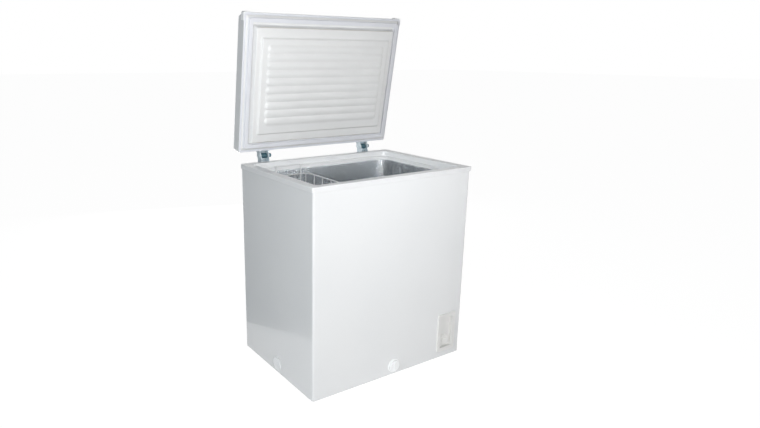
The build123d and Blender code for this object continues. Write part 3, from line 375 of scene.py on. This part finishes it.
materials = {
    "white_paint": painted_steel(),
    "white_plastic": moulded_plastic("white_plastic", (0.895, 0.905, 0.915),
                                     (0.92, 0.93, 0.935), 0.28),
    "panel_plastic": moulded_plastic("panel_plastic", (0.74, 0.735, 0.72), (0.77, 0.765, 0.75), 0.3),
    "knob_plastic": moulded_plastic("knob_plastic", (0.80, 0.795, 0.78), (0.83, 0.825, 0.81), 0.3),
    # A darker, lilac copy of the white paint: painted shade for the lid's hem strip beside the seal.
    "hem_painted_shade": moulded_plastic("hem_painted_shade", (0.745, 0.755, 0.80), (0.775, 0.785, 0.83), 0.35),
    # A darker copy of the white plastic: painted shade for the mouth frame's outer skirt.
    "skirt_painted_shade": moulded_plastic("skirt_painted_shade", (0.75, 0.755, 0.765), (0.77, 0.775, 0.78), 0.28),
    "inner_lid_plastic": moulded_plastic("inner_lid_plastic", (0.81, 0.81, 0.808),
                                         (0.84, 0.84, 0.836), 0.26),
    "gasket_vinyl": moulded_plastic("gasket_vinyl", (0.76, 0.77, 0.81), (0.80, 0.81, 0.85), 0.42),
    "coated_wire": moulded_plastic("coated_wire", (0.84, 0.85, 0.86), (0.88, 0.885, 0.89), 0.25),
    "embossed_aluminium": embossed_aluminium(),
    "zinc_steel": metal("zinc_steel", (0.62, 0.71, 0.76), (0.80, 0.87, 0.91), 0.34, metallic=0.55),
    "galvanised": metal("galvanised", (0.33, 0.36, 0.38), (0.45, 0.48, 0.50), 0.5),
    "grey_steel": metal("grey_steel", (0.55, 0.56, 0.57), (0.66, 0.67, 0.68), 0.45),
    "copper": metal("copper", (0.55, 0.30, 0.18), (0.75, 0.44, 0.28), 0.35),
    "black_paint": dull("black_paint", (0.012, 0.03, 0.04), (0.03, 0.055, 0.07), 0.4, 40.0),
    "teal_steel": dull("teal_steel", (0.03, 0.10, 0.135), (0.09, 0.19, 0.23), 0.35, 160.0),
    "black_plastic": dull("black_plastic", (0.03, 0.03, 0.033), (0.05, 0.05, 0.055), 0.6, 80.0),
    "black_rubber": dull("black_rubber", (0.02, 0.02, 0.02), (0.04, 0.04, 0.04), 0.75, 60.0),
    "foam": dull("foam", (0.70, 0.60, 0.38), (0.80, 0.70, 0.48), 0.9, 90.0),
}
OWN_FINISH = {"control_panel": "panel_plastic", "thermostat_knob": "knob_plastic",
              "back_panel": "galvanised"}


def dress_nodes():
    """Gives every CAD node the material of its slot, or a finish of its own."""
    for part in frame["record"]["subparts"]:
        finish = OWN_FINISH.get(part["node"], part["material_slot"])
        for entry in nodes[part["node"]].material_slots:
            entry.material = materials[finish]


# ------------------------------------------------------------------ mesh helpers
def piece_of(mesh, name, slot, body, replaced):
    """Makes a smooth piece of a mesh. It rides on a body and stands for CAD nodes."""
    mesh.polygons.foreach_set("use_smooth", [True] * len(mesh.polygons))
    mesh.materials.clear()
    mesh.materials.append(materials[slot])
    piece = add_object(name, mesh)
    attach(piece, body)
    if replaced:
        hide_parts(*replaced)
    return piece


def keep_flat(piece):
    """Shades a piece's large faces flat up to their soft edges."""
    piece.modifiers.new("flat faces", "WEIGHTED_NORMAL").keep_sharp = True


def add_piece(name, vertices, faces, slot, body, replaced, turn=None, weighted=True):
    """Makes a piece from vertices and faces."""
    mesh = bpy.data.meshes.new(name)
    mesh.from_pydata([Vector(place) for place in vertices], [], faces)
    if turn is not None:
        mesh.transform(turn)
    mesh.validate()
    piece = piece_of(mesh, name, slot, body, replaced)
    if weighted:
        keep_flat(piece)
    return piece


CORNER_STEPS = 8
BEND_STEPS = 5
BEND_SHARE = 0.49          # the most of a run that one of its two bends may take
LEAST_RADIUS = 0.1


def arc(x, y, radius, start, z, steps):
    """Points of a quarter circle about (x, y), anticlockwise from a start in degrees."""
    points = []
    for step in range(steps + 1):
        angle = math.radians(start + 90 * step / steps)
        points.append(Vector((x + radius * math.cos(angle), y + radius * math.sin(angle), z)))
    return points


def ring(low_x, high_x, low_y, high_y, radius, z, steps=CORNER_STEPS, front=None):
    """Points round a rounded rectangle, anticlockwise from above; front is the near radius."""
    rear = max(radius, LEAST_RADIUS * MM)
    front = rear if front is None else front
    return (arc(high_x - rear, high_y - rear, rear, 0, z, steps)
            + arc(low_x + rear, high_y - rear, rear, 90, z, steps)
            + arc(low_x + front, low_y + front, front, 180, z, steps)
            + arc(high_x - front, low_y + front, front, 270, z, steps))


def loft(rings, closed=False, cap_first=False, cap_last=False):
    """Quads between rings of equal length: vertices and faces."""
    count = len(rings[0])
    vertices = [place for points in rings for place in points]
    faces = []
    bands = len(rings) if closed else len(rings) - 1
    for row in range(bands):
        below = row * count
        above = ((row + 1) % len(rings)) * count
        for i in range(count):
            j = (i + 1) % count
            faces.append((below + i, below + j, above + j, above + i))
    if cap_first:
        faces.append(tuple(reversed(range(count))))
    if cap_last:
        faces.append(tuple(range((len(rings) - 1) * count, len(rings) * count)))
    return vertices, faces


def bend(profile, closed=False):
    """Rounds a profile's corners. Each entry is a point and the length its bend takes."""
    count = len(profile)
    out = []
    for i, (point, size) in enumerate(profile):
        point = Vector(point)
        if size <= 0 or (not closed and i in (0, count - 1)):
            out.append(point)
            continue
        before = Vector(profile[i - 1][0]) - point
        after = Vector(profile[(i + 1) % count][0]) - point
        start = point + before.normalized() * min(size, before.length * BEND_SHARE)
        end = point + after.normalized() * min(size, after.length * BEND_SHARE)
        for step in range(BEND_STEPS + 1):
            t = step / BEND_STEPS
            out.append(start * (1 - t) ** 2 + point * 2 * t * (1 - t) + end * t ** 2)
    return out


def swept(profile, low, high, top, closed=True):
    """Rings for a profile of (inset, height, plan radius) round a rectangle."""
    rings = []
    for inset, height, radius in bend(profile, closed):
        rings.append(ring(low.x + inset * MM, high.x - inset * MM, low.y + inset * MM,
                          high.y - inset * MM, radius * MM, top + height * MM))
    return rings


def lathe(profile, steps):
    """Rings for a profile of (radius, height), turned about Z."""
    rings = []
    for radius, height in profile:
        rings.append([Vector((radius * MM * math.cos(math.tau * i / steps),
                              radius * MM * math.sin(math.tau * i / steps), height * MM))
                      for i in range(steps)])
    return rings


def joined(parts):
    """Several (vertices, faces) pairs as one."""
    vertices = []
    faces = []
    for some, more in parts:
        start = len(vertices)
        vertices += some
        faces += [tuple(start + index for index in face) for face in more]
    return vertices, faces


# ------------------------------------------------------------------ cabinet
RIM_FACE = 18.0
RIM_SKIN = 3.0
RIM_CORNER = 9.0
RIM_LAND = 35.0
LAND_CORNER = 15.0
RIM_DROP = 21.0
RIM_LEDGE = 49.0           # inset of the ledge's inner edge
THROAT_DROP = 35.0
THROAT_INSET = 54.0
TANK_CORNER = 56.0
SKIRT_SKIN = 2.0           # faces this near the outside and this far below the land are skirt


def make_rim():
    """Moulded mouth frame: skirt, land, wall, ledge and throat, with soft edges."""
    outer = [((0, -RIM_FACE, RIM_CORNER), 1.2), ((0, 0, RIM_CORNER), 3.2),
             ((RIM_LAND, 0, LAND_CORNER), 3.0), ((RIM_LAND, -RIM_DROP, LAND_CORNER), 3.0),
             ((RIM_LEDGE, -RIM_DROP, TANK_CORNER), 3.0),
             ((THROAT_INSET, -THROAT_DROP, TANK_CORNER), 0.8)]
    wide, tight = LAND_CORNER + RIM_SKIN, RIM_CORNER - RIM_SKIN
    below = -RIM_DROP - RIM_SKIN
    inner = [((THROAT_INSET - RIM_SKIN, -THROAT_DROP, TANK_CORNER + RIM_SKIN), 0.8),
             ((RIM_LEDGE - RIM_SKIN, below, TANK_CORNER + RIM_SKIN), 2.0),
             ((RIM_LAND - RIM_SKIN, below, wide), 2.0), ((RIM_LAND - RIM_SKIN, -RIM_SKIN, wide), 1.5),
             ((RIM_SKIN, -RIM_SKIN, tight), 1.5), ((RIM_SKIN, -RIM_FACE, tight), 1.2)]
    rings = swept(outer + inner, rim_low, rim_high, rim_high.z)
    vertices, faces = loft(rings, closed=True)
    faces = [tuple(reversed(face)) for face in faces]
    piece = add_piece("mouth_frame", vertices, faces, "white_plastic", "cabinet", ["top_rim"])
    # Painted shade: the skirt's outer faces take a darker copy of the frame's white plastic.
    piece.data.materials.append(materials["skirt_painted_shade"])
    for face in piece.data.polygons:
        x, y, z = face.center
        side = min(x - rim_low.x, rim_high.x - x, y - rim_low.y, rim_high.y - y)
        if side < SKIRT_SKIN * MM and z < rim_high.z - SKIRT_SKIN * MM:
            face.material_index = 1


FLANGE = 10.0
LINER_CORNER = 55.0
# The rest of the tank's lengths are in metres. The hump is a little past the CAD's, because
# the remesh rounds its edges off.
TANK_FLOOR = 0.070
HUMP_TOP = 0.3167
HUMP_LEFT = 0.0433
HOLLOW_LAP = 0.02          # how far the lower hollow reaches into the upper one
HOLLOW_OVER = 0.03         # how far the hollow is built past the mouth, to be opened there
LINER_VOXEL = 0.0050
LINER_SKIN = 0.0010
LINER_RELIEF = 0.00015
COARSE_RELIEF = 210        # noise waves to the metre
FINE_RELIEF = 530


def tank_hollow():
    """The space in the tank: the full plan over the hump, and only its left part below."""
    low_x, high_x = liner_low.x + FLANGE * MM, liner_high.x - FLANGE * MM
    low_y, high_y = liner_low.y + FLANGE * MM, liner_high.y - FLANGE * MM
    corner = LINER_CORNER * MM
    upper = [ring(low_x, high_x, low_y, high_y, corner, z)
             for z in (HUMP_TOP, liner_high.z + HOLLOW_OVER)]
    left = [place for place in ring(low_x, high_x, low_y, high_y, corner, 0)
            if place.x < HUMP_LEFT]
    plan = [Vector((HUMP_LEFT, high_y, 0))] + left + [Vector((HUMP_LEFT, low_y, 0))]
    lower = [[Vector((p.x, p.y, z)) for p in plan] for z in (TANK_FLOOR, HUMP_TOP + HOLLOW_LAP)]
    vertices, faces = joined([loft(upper, cap_first=True, cap_last=True),
                              loft(lower, cap_first=True, cap_last=True)])
    mesh = bpy.data.meshes.new("tank hollow")
    mesh.from_pydata(vertices, [], faces)
    return add_object("tank hollow", mesh)


def make_liner():
    """Embossed tank: its hollow is remeshed, opened at the top and pebbled."""
    hollow = tank_hollow()
    remesh = hollow.modifiers.new("remesh", "REMESH")
    remesh.mode = "VOXEL"
    remesh.voxel_size = LINER_VOXEL
    remesh.adaptivity = 0.0
    skin = evaluated_mesh(hollow)
    bpy.data.objects.remove(hollow)
    build = bmesh.new()
    build.from_mesh(skin)
    over = [face for face in build.faces if face.calc_center_median().z > liner_high.z]
    bmesh.ops.delete(build, geom=over, context="FACES")
    bmesh.ops.smooth_vert(build, verts=[v for v in build.verts if not v.is_boundary], factor=0.5,
                          use_axis_x=True, use_axis_y=True, use_axis_z=True)
    bmesh.ops.reverse_faces(build, faces=build.faces[:])
    build.normal_update()
    for vertex in build.verts:
        lift = noise.noise(vertex.co * COARSE_RELIEF) + 0.5 * noise.noise(vertex.co * FINE_RELIEF)
        vertex.co += vertex.normal * lift * LINER_RELIEF
    build.verts.index_update()
    places = [vertex.co.copy() for vertex in build.verts]
    quads = [tuple(vertex.index for vertex in face.verts) for face in build.faces]
    build.free()
    bpy.data.meshes.remove(skin)
    piece = add_piece("tank", places, quads, "embossed_aluminium", "cabinet", ["inner_liner"],
                      weighted=False)
    shell = piece.modifiers.new("sheet", "SOLIDIFY")
    shell.thickness = LINER_SKIN
    shell.offset = -1.0


SHEET = 0.8
SHELL_CORNER = 8.0
SHELL_BAND = 1.0           # band of faces at the top and foot, which keeps the walls flat
WINDOW_LAPS = {"control_panel": 17.5, "vent_grille": 8.0, "drain_collar": 15.0, "side_cap": 13.5}
CUTTER_REACH = 3.0
CUTTER_CORNER = 0.2


def wrapper_path(inset, radius):
    """The wrapper's plan at an inset: left rear, left front corner, right front, right rear."""
    x0, x1 = shell_low.x + inset, shell_high.x - inset
    y0 = shell_low.y + inset
    return ([Vector((x0, shell_high.y, 0))]
            + arc(x0 + radius, y0 + radius, radius, 180, 0, CORNER_STEPS)
            + arc(x1 - radius, y0 + radius, radius, 270, 0, CORNER_STEPS)
            + [Vector((x1, shell_high.y, 0))])


def window_cutter(node):
    """Box through the wrapper behind a fitting, inside the fitting's own outline."""
    low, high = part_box(node)
    lap = WINDOW_LAPS[node] * MM
    reach = CUTTER_REACH * MM
    low.z += lap
    high.z -= lap
    if node in ("vent_grille", "side_cap"):
        low.y += lap
        high.y -= lap
        wall = shell_low.x if node == "side_cap" else shell_high.x
        low.x, high.x = wall - reach, wall + reach
    else:
        low.x += lap
        high.x -= lap
        low.y, high.y = shell_low.y - reach, shell_low.y + reach
    rings = [ring(low.x, high.x, low.y, high.y, CUTTER_CORNER * MM, z, 1)
             for z in (low.z, high.z)]
    vertices, faces = loft(rings, cap_first=True, cap_last=True)
    mesh = bpy.data.meshes.new("cutter")
    mesh.from_pydata(vertices, [], faces)
    return add_object("cutter", mesh)


def cut_with(piece, cutters):
    """Takes the cutters out of a piece's mesh for good, and removes them."""
    for cutter in cutters:
        modifier = piece.modifiers.new("window", "BOOLEAN")
        modifier.operation = "DIFFERENCE"
        modifier.solver = "EXACT"
        modifier.object = cutter
    mesh = evaluated_mesh(piece)
    piece.modifiers.clear()
    old = piece.data
    piece.data = mesh
    bpy.data.meshes.remove(old)
    for cutter in cutters:
        bpy.data.objects.remove(cutter)


def make_shell():
    """Painted wrapper bent round the front and sides, with its windows cut out."""
    outer = wrapper_path(0.0, SHELL_CORNER * MM)
    inner = wrapper_path(SHEET * MM, (SHELL_CORNER - SHEET) * MM)
    outline = outer + inner[::-1]
    band = SHELL_BAND * MM
    rings = [[Vector((p.x, p.y, z)) for p in outline]
             for z in (shell_low.z, shell_low.z + band, shell_high.z - band, shell_high.z)]
    vertices, faces = loft(rings, cap_first=True, cap_last=True)
    piece = add_piece("wrapper", vertices, faces, "white_paint", "cabinet", ["outer_shell"],
                      weighted=False)
    cut_with(piece, [window_cutter(node) for node in WINDOW_LAPS])
    keep_flat(piece)


# ------------------------------------------------------------------ lid
LID_LIP = 11.0             # height of the upright part of the front
LID_LEAN = 20.0            # how far the front leans back above it
LID_HEM = 8.6
LID_HEM_CORNER = 5.0
HEM_BANDS = 9              # bands of faces from the hem's inner edge to its outer one
LID_CORNER = 9.0
LID_CREASE = 1.5           # what the corner's radius has shrunk to where the front leans
LID_SKIN = 1.5
LID_TOP_RINGS = ((12.0, 4.0), (40.0, 3.0))     # inset and radius of two that keep the top flat


def make_lid_shell():
    """Painted lid: hem, soft lower edge, leaning front and a rolled upper edge."""
    low, high = shut_box("lid_shell")
    height = (high.z - low.z) / MM
    corner_end = LID_LIP + (height - LID_LIP) * (LID_CORNER - LID_CREASE) / LID_LEAN
    profile = [((LID_HEM, LID_SKIN, LID_HEM_CORNER), 0), ((LID_HEM, 0, LID_HEM_CORNER), 0.6),
               ((0, 0, LID_CORNER), 1.2), ((0, LID_LIP, LID_CORNER), 4.0),
               ((0, corner_end, LID_CORNER), 0), ((0, height, LID_CORNER), 2.4)]
    profile += [((inset, height, radius), 0) for inset, radius in LID_TOP_RINGS]
    rings = []
    for inset, up, radius in bend(profile):
        lean = LID_LEAN * max(0.0, up - LID_LIP) / (height - LID_LIP)
        crease = max(LID_CREASE, radius - lean)
        rings.append(ring(low.x + inset * MM, high.x - inset * MM, low.y + (inset + lean) * MM,
                          high.y - inset * MM, radius * MM, low.z + up * MM, front=crease * MM))
    vertices, faces = loft(rings, cap_last=True)
    piece = add_piece("lid_skin", vertices, faces, "white_paint", "lid", ["lid_shell"], lid_turn)
    # Painted shade: the hem strip beside the seal takes a darker, lilac copy of the white paint.
    piece.data.materials.append(materials["hem_painted_shade"])
    for face in piece.data.polygons[:HEM_BANDS * len(rings[0])]:
        face.material_index = 1


STEP_ONE = (37.0, 41.0, 33.5)      # side, front and rear insets
STEP_TWO = (64.5, 84.6, 73.0)
STEP_ONE_DEPTH = 20.0
STEP_TWO_DEPTH = 6.5
STEP_RADIUS = 6.0
STEP_ONE_DRAFT = 10.0
STEP_TWO_DRAFT = 6.0
SOFT = 1.2
RIB_COUNT = 10
RIB_PITCH = 31.0
RIB_FIRST = 111.0          # from the lid's rear edge to the first rib
RIB_INSET = 91.0
RIB_RISE = 4.2
RIB_POWER = 2.2            # 2 is a parabola, and more has a fuller top
LINER_SHEET = 1.35
LINER_GAP = 0.05           # between the hem's edge and the inner lid's
WALL_PITCH = 0.9           # grid lines on the steps' walls


def inside(x, y, box, radius):
    """How far a point is inside a rounded rectangle, negative outside."""
    x0, x1, y0, y1 = box
    dx = abs(x - (x0 + x1) / 2) - ((x1 - x0) / 2 - radius)
    dy = abs(y - (y0 + y1) / 2) - ((y1 - y0) / 2 - radius)
    outer = math.hypot(max(dx, 0.0), max(dy, 0.0))
    return radius - outer - min(max(dx, dy), 0.0)


def soft_step(distance, width):
    """0 outside, 1 inside, with a wall of the given width and soft edges."""
    t = (distance + SOFT) / (width + 2 * SOFT)
    t = min(1.0, max(0.0, t))
    return t * t * (3 - 2 * t)


def graded(stops):
    """Grid lines between stops of (start, end, pitch)."""
    lines = []
    for start, end, pitch in stops:
        count = max(1, round((end - start) / pitch))
        lines += [start + (end - start) * i / count for i in range(count)]
    return lines + [stops[-1][1]]


def make_lid_liner():
    """Vacuum-formed inner lid: flat border, two soft steps and ten ribs."""
    low, high = shut_box("lid_shell")
    width, depth = (high.x - low.x) / MM, (high.y - low.y) / MM
    half = width / 2

    def step_box(insets):
        side, near, far = insets
        return -half + side, half - side, near, depth - far

    one, two = step_box(STEP_ONE), step_box(STEP_TWO)
    spine = half - RIB_INSET - RIB_PITCH / 2

    def rib_rise(x, y):
        from_rear = depth - y - RIB_FIRST
        rib = math.floor(from_rear / RIB_PITCH)
        if rib < 0 or rib >= RIB_COUNT:
            return 0.0
        middle = (rib + 0.5) * RIB_PITCH
        along = max(0.0, abs(x) - spine)
        reach = math.hypot(along, from_rear - middle) / (RIB_PITCH / 2)
        return RIB_RISE * max(0.0, 1.0 - reach ** RIB_POWER)

    def drop(x, y):
        down = STEP_ONE_DEPTH * soft_step(inside(x, y, one, STEP_RADIUS), STEP_ONE_DRAFT)
        down += STEP_TWO_DEPTH * soft_step(inside(x, y, two, STEP_RADIUS), STEP_TWO_DRAFT)
        return down + rib_rise(x, y)

    edge = LID_HEM + LINER_GAP
    from_side = [(edge, 34, 9), (34, 50, WALL_PITCH), (50, 62, 4), (62, 74, WALL_PITCH), (76, 89, 4),
                 (89, 110, 1.5), (110, half, 24)]
    left = graded([(start - half, end - half, pitch) for start, end, pitch in from_side])
    columns = left + [-x for x in left[-2::-1]]
    near_one, near_two = STEP_ONE[1], STEP_TWO[1]
    far_one, far_two = depth - STEP_ONE[2], depth - STEP_TWO[2]
    ribs_end = depth - RIB_FIRST
    ribs_start = ribs_end - RIB_COUNT * RIB_PITCH
    rows = graded([(edge, near_one - 3, 9), (near_one - 3, near_one + 13, WALL_PITCH),
                   (near_one + 13, near_two - 3, 6), (near_two - 3, near_two + 10, WALL_PITCH),
                   (near_two + 10, ribs_start, 4), (ribs_start, ribs_end, RIB_PITCH / 16),
                   (ribs_end, far_two - 12, 6), (far_two - 12, far_two + 3, WALL_PITCH),
                   (far_two + 3, far_one - 13, 6), (far_one - 13, far_one + 3, WALL_PITCH),
                   (far_one + 3, depth - edge, 9)])
    vertices = [(x * MM, low.y + y * MM, low.z - drop(x, y) * MM) for y in rows for x in columns]
    across = len(columns)
    corners = [row * across + i for row in range(len(rows) - 1) for i in range(across - 1)]
    faces = [(corner, corner + across, corner + across + 1, corner + 1) for corner in corners]
    piece = add_piece("inner_lid", vertices, faces, "inner_lid_plastic", "lid", ["lid_liner"],
                      lid_turn, weighted=False)
    sheet = piece.modifiers.new("sheet", "SOLIDIFY")
    sheet.thickness = LINER_SHEET * MM
    sheet.offset = -1.0


GASKET_WIDTH = 18.0
GASKET_INNER_CORNER = 6.0


def make_gasket():
    """Magnetic seal: foot, bellows and a soft square head. Its two sides mirror each other."""
    low, high = shut_box("lid_gasket")
    tall = (high.z - low.z) / MM
    outer = [((0.0, 0, 10), 0), ((0.2, -1.4, 10), 0.8), ((3.2, -2.4, 8), 0.8), ((1.4, -4.0, 9), 0.9),
             ((3.6, -5.4, 8), 0.9), ((1.6, -7.0, 9), 1.0), ((1.4, -tall, 9), 1.6)]
    inner = [((GASKET_WIDTH - inset, height, GASKET_INNER_CORNER), size)
             for (inset, height, _), size in reversed(outer)]
    rings = swept(outer + inner, low, high, high.z, closed=False)
    vertices, faces = loft(rings, closed=True)
    add_piece("lid_seal", vertices, faces, "gasket_vinyl", "lid", ["lid_gasket"], lid_turn)


# ------------------------------------------------------------------ basket
WIRE = 1.6                 # radius of the thin wires, and the next is the loops' and handles'
RAIL = 2.5
BASKET_LEFT_CORNER = 52.0
BASKET_RIGHT_CORNER = 9.0
BASKET_PITCH_Y = 57.0
BASKET_PITCH_X = 48.0
WIRE_BEND = 9.0
HANGER_BEND = 9.0
ARC_STEPS = 9


def wire_piece(name, routes, radius, replaced, slot="coated_wire", body="basket"):
    """Round wires along smooth-cornered routes, as one mesh piece."""
    curve = bpy.data.curves.new(name, "CURVE")
    curve.dimensions = "3D"
    curve.bevel_depth = radius * MM
    curve.bevel_resolution = 3
    curve.use_fill_caps = True
    for points, cyclic in routes:
        spline = curve.splines.new("POLY")
        spline.points.add(len(points) - 1)
        for knot, place in zip(spline.points, points):
            knot.co = (*place, 1)
        spline.use_cyclic_u = cyclic
    wires = add_object(name, curve)
    mesh = evaluated_mesh(wires)
    bpy.data.objects.remove(wires)
    return piece_of(mesh, name, slot, body, replaced)


def bent(points, size):
    """A wire's route with its corners rounded."""
    return bend([(Vector(point), size * MM) for point in points])


def spread(low, high, pitch):
    """Evenly spaced places that fill a stretch, about one pitch apart."""
    count = max(1, round((high - low) / pitch))
    return [low + (high - low) * i / count for i in range(count + 1)]


def basket_loop(x0, x1, y0, y1, z):
    """Bar round the basket, with wide corners at the tank's left wall."""
    wide, tight = BASKET_LEFT_CORNER * MM, BASKET_RIGHT_CORNER * MM
    return (arc(x1 - tight, y1 - tight, tight, 0, z, ARC_STEPS)
            + arc(x0 + wide, y1 - wide, wide, 90, z, ARC_STEPS)
            + arc(x0 + wide, y0 + wide, wide, 180, z, ARC_STEPS)
            + arc(x1 - tight, y0 + tight, tight, 270, z, ARC_STEPS))


def make_basket():
    """Coated wire basket: two loops, U-shaped wires, side wires and two handles."""
    rail_low, rail_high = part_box("basket_top_rail")
    floor_low, floor_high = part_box("basket_floor")
    rail = RAIL * MM
    x0, x1 = rail_low.x + rail, rail_high.x - rail
    y0, y1 = rail_low.y + rail, rail_high.y - rail
    top = (rail_low.z + rail_high.z) / 2
    bottom = (floor_low.z + floor_high.z) / 2
    loops = [(basket_loop(x0, x1, y0, y1, height), True) for height in (top, bottom)]
    wide, tight = BASKET_LEFT_CORNER * MM, BASKET_RIGHT_CORNER * MM
    thin = []
    for third in (1, 2):
        height = bottom + (top - bottom) * third / 3
        thin.append((basket_loop(x0, x1, y0, y1, height), True))
    under = WIRE * MM
    for y in spread(y0 + wide, y1 - wide, BASKET_PITCH_Y * MM):
        route = [(x0, y, top), (x0, y, bottom + under), (x1, y, bottom + under), (x1, y, top)]
        thin.append((bent(route, WIRE_BEND), False))
    for x in spread(x0 + wide, x1 - tight, BASKET_PITCH_X * MM):
        route = [(x, y0, top), (x, y0, bottom - under), (x, y1, bottom - under), (x, y1, top)]
        thin.append((bent(route, WIRE_BEND), False))
    wire_piece("basket_loops", loops, RAIL, ["basket_top_rail"])
    wire_piece("basket_wires", thin, WIRE, ["basket_floor", "basket_front", "basket_back",
                                            "basket_left", "basket_right"])
    handles = []
    for node, side in (("basket_front_hanger", -1), ("basket_back_hanger", 1)):
        low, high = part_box(node)
        left, right = low.x + rail, high.x - rail
        inner, outer = (low.y + rail, high.y - rail) if side > 0 else (high.y - rail, low.y + rail)
        tall = high.z - rail
        route = [(left, inner, low.z), (left, inner, tall), (left, outer, tall),
                 (right, outer, tall), (right, inner, tall), (right, inner, low.z)]
        handles.append((bent(route, HANGER_BEND), False))
    wire_piece("basket_handles", handles, RAIL, ["basket_front_hanger", "basket_back_hanger"])


# ------------------------------------------------------------------ hinge pins and springs
PIN_SHAFT = 4.0            # radius
PIN_HEAD_RADIUS = 6.5
PIN_HEAD = 2.0             # thickness
PIN_FACETS = 32
NUT_RADIUS = 8.6
NUT_LENGTH = 12.0
NUT_FACETS = 12
AXIS = 0.01                # radius that stands for the axis itself
COIL_RADIUS = 9.0
COIL_WIRE = 1.7            # radius
COIL_TURNS = 7
COIL_STEPS = 20            # in each turn
COIL_HALF = 14.0           # half its length


def along_x(rings, place):
    """Turns rings made about Z so that they lie about X at a place."""
    turn = Matrix.Translation(place) @ Matrix.Rotation(math.pi / 2, 4, "Y")
    return [[turn @ point for point in points] for points in rings]


def make_pin(side):
    """Zinc pin with two heads, a dark nut on its right end and a dark coil round it."""
    low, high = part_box("hinge_pin_" + side)
    middle_y, middle_z = (low.y + high.y) / 2, (low.z + high.z) / 2
    length = (high.x - low.x) / MM
    place = Vector((low.x, middle_y, middle_z))
    inner = length - NUT_LENGTH
    pin = [(AXIS, 0), (PIN_HEAD_RADIUS - 1, 0), (PIN_HEAD_RADIUS, 0.8), (PIN_HEAD_RADIUS, PIN_HEAD),
           (PIN_SHAFT, PIN_HEAD), (PIN_SHAFT, inner - PIN_HEAD), (PIN_HEAD_RADIUS, inner - PIN_HEAD),
           (PIN_HEAD_RADIUS, inner), (AXIS, inner)]
    vertices, faces = loft(along_x(lathe(pin, PIN_FACETS), place))
    add_piece("hinge_pin_body_" + side, vertices, faces, "zinc_steel", "cabinet",
              ["hinge_pin_" + side])
    nut = [(AXIS, inner), (NUT_RADIUS - 1.2, inner), (NUT_RADIUS, inner + 1.0),
           (NUT_RADIUS, length - 3.0), (NUT_RADIUS - 2.0, length - 1.2),
           (NUT_RADIUS - 4.2, length - 0.2), (AXIS, length)]
    vertices, faces = loft(along_x(lathe(nut, NUT_FACETS), place))
    cap = add_piece("hinge_nut_" + side, vertices, faces, "black_paint", "cabinet", [])
    steps = COIL_TURNS * COIL_STEPS
    route = []
    for step in range(steps + 1):
        angle = math.tau * COIL_TURNS * step / steps
        x = low.x + inner * MM / 2 + COIL_HALF * MM * (2 * step / steps - 1)
        route.append((x, middle_y + COIL_RADIUS * MM * math.cos(angle),
                      middle_z + COIL_RADIUS * MM * math.sin(angle)))
    coil = wire_piece("hinge_coil_" + side, [(route, False)], COIL_WIRE, ["hinge_spring_" + side],
                      "black_paint", "cabinet")
    for piece in (cap, coil):
        piece.data.materials[0] = materials["teal_steel"]


# ------------------------------------------------------------------ edges of kept nodes
SOFT_EDGES = {"control_panel": 0.7, "thermostat_knob": 0.5, "drain_collar": 0.4, "drain_dial": 0.5,
              "side_cap": 0.5, "feet": 0.8, "vent_grille": 0.4, "lid_corner_caps": 0.6,
              "hinge_bracket_right": 0.35, "hinge_bracket_left": 0.35, "lid_arm_right": 0.35,
              "lid_arm_left": 0.35, "back_panel": 0.4, "base_plate": 0.3, "floor_plug": 0.5,
              "start_relay": 0.8, "cord_gland": 0.5, "thermostat_body": 0.6}
EDGE_ANGLE = math.radians(32)
EDGE_WELD = 0.02           # points nearer than this are one


def soften_edges():
    """Takes the knife edges off the CAD nodes that stay."""
    for name, width in SOFT_EDGES.items():
        node = nodes[name]
        weld = node.modifiers.new("weld", "WELD")
        weld.merge_threshold = EDGE_WELD * MM
        soft = node.modifiers.new("soft edges", "BEVEL")
        soft.width = width * MM
        soft.segments = 2
        soft.limit_method = "ANGLE"
        soft.angle_limit = EDGE_ANGLE
        soft.harden_normals = True


make_camera()
make_world()
make_floor()
make_card()
make_lamps()
dress_nodes()
make_rim()
make_liner()
make_shell()
make_lid_shell()
make_lid_liner()
make_gasket()
make_basket()
make_pin("left")
make_pin("right")
soften_edges()

bpy.context.scene.view_settings.view_transform = "Standard"
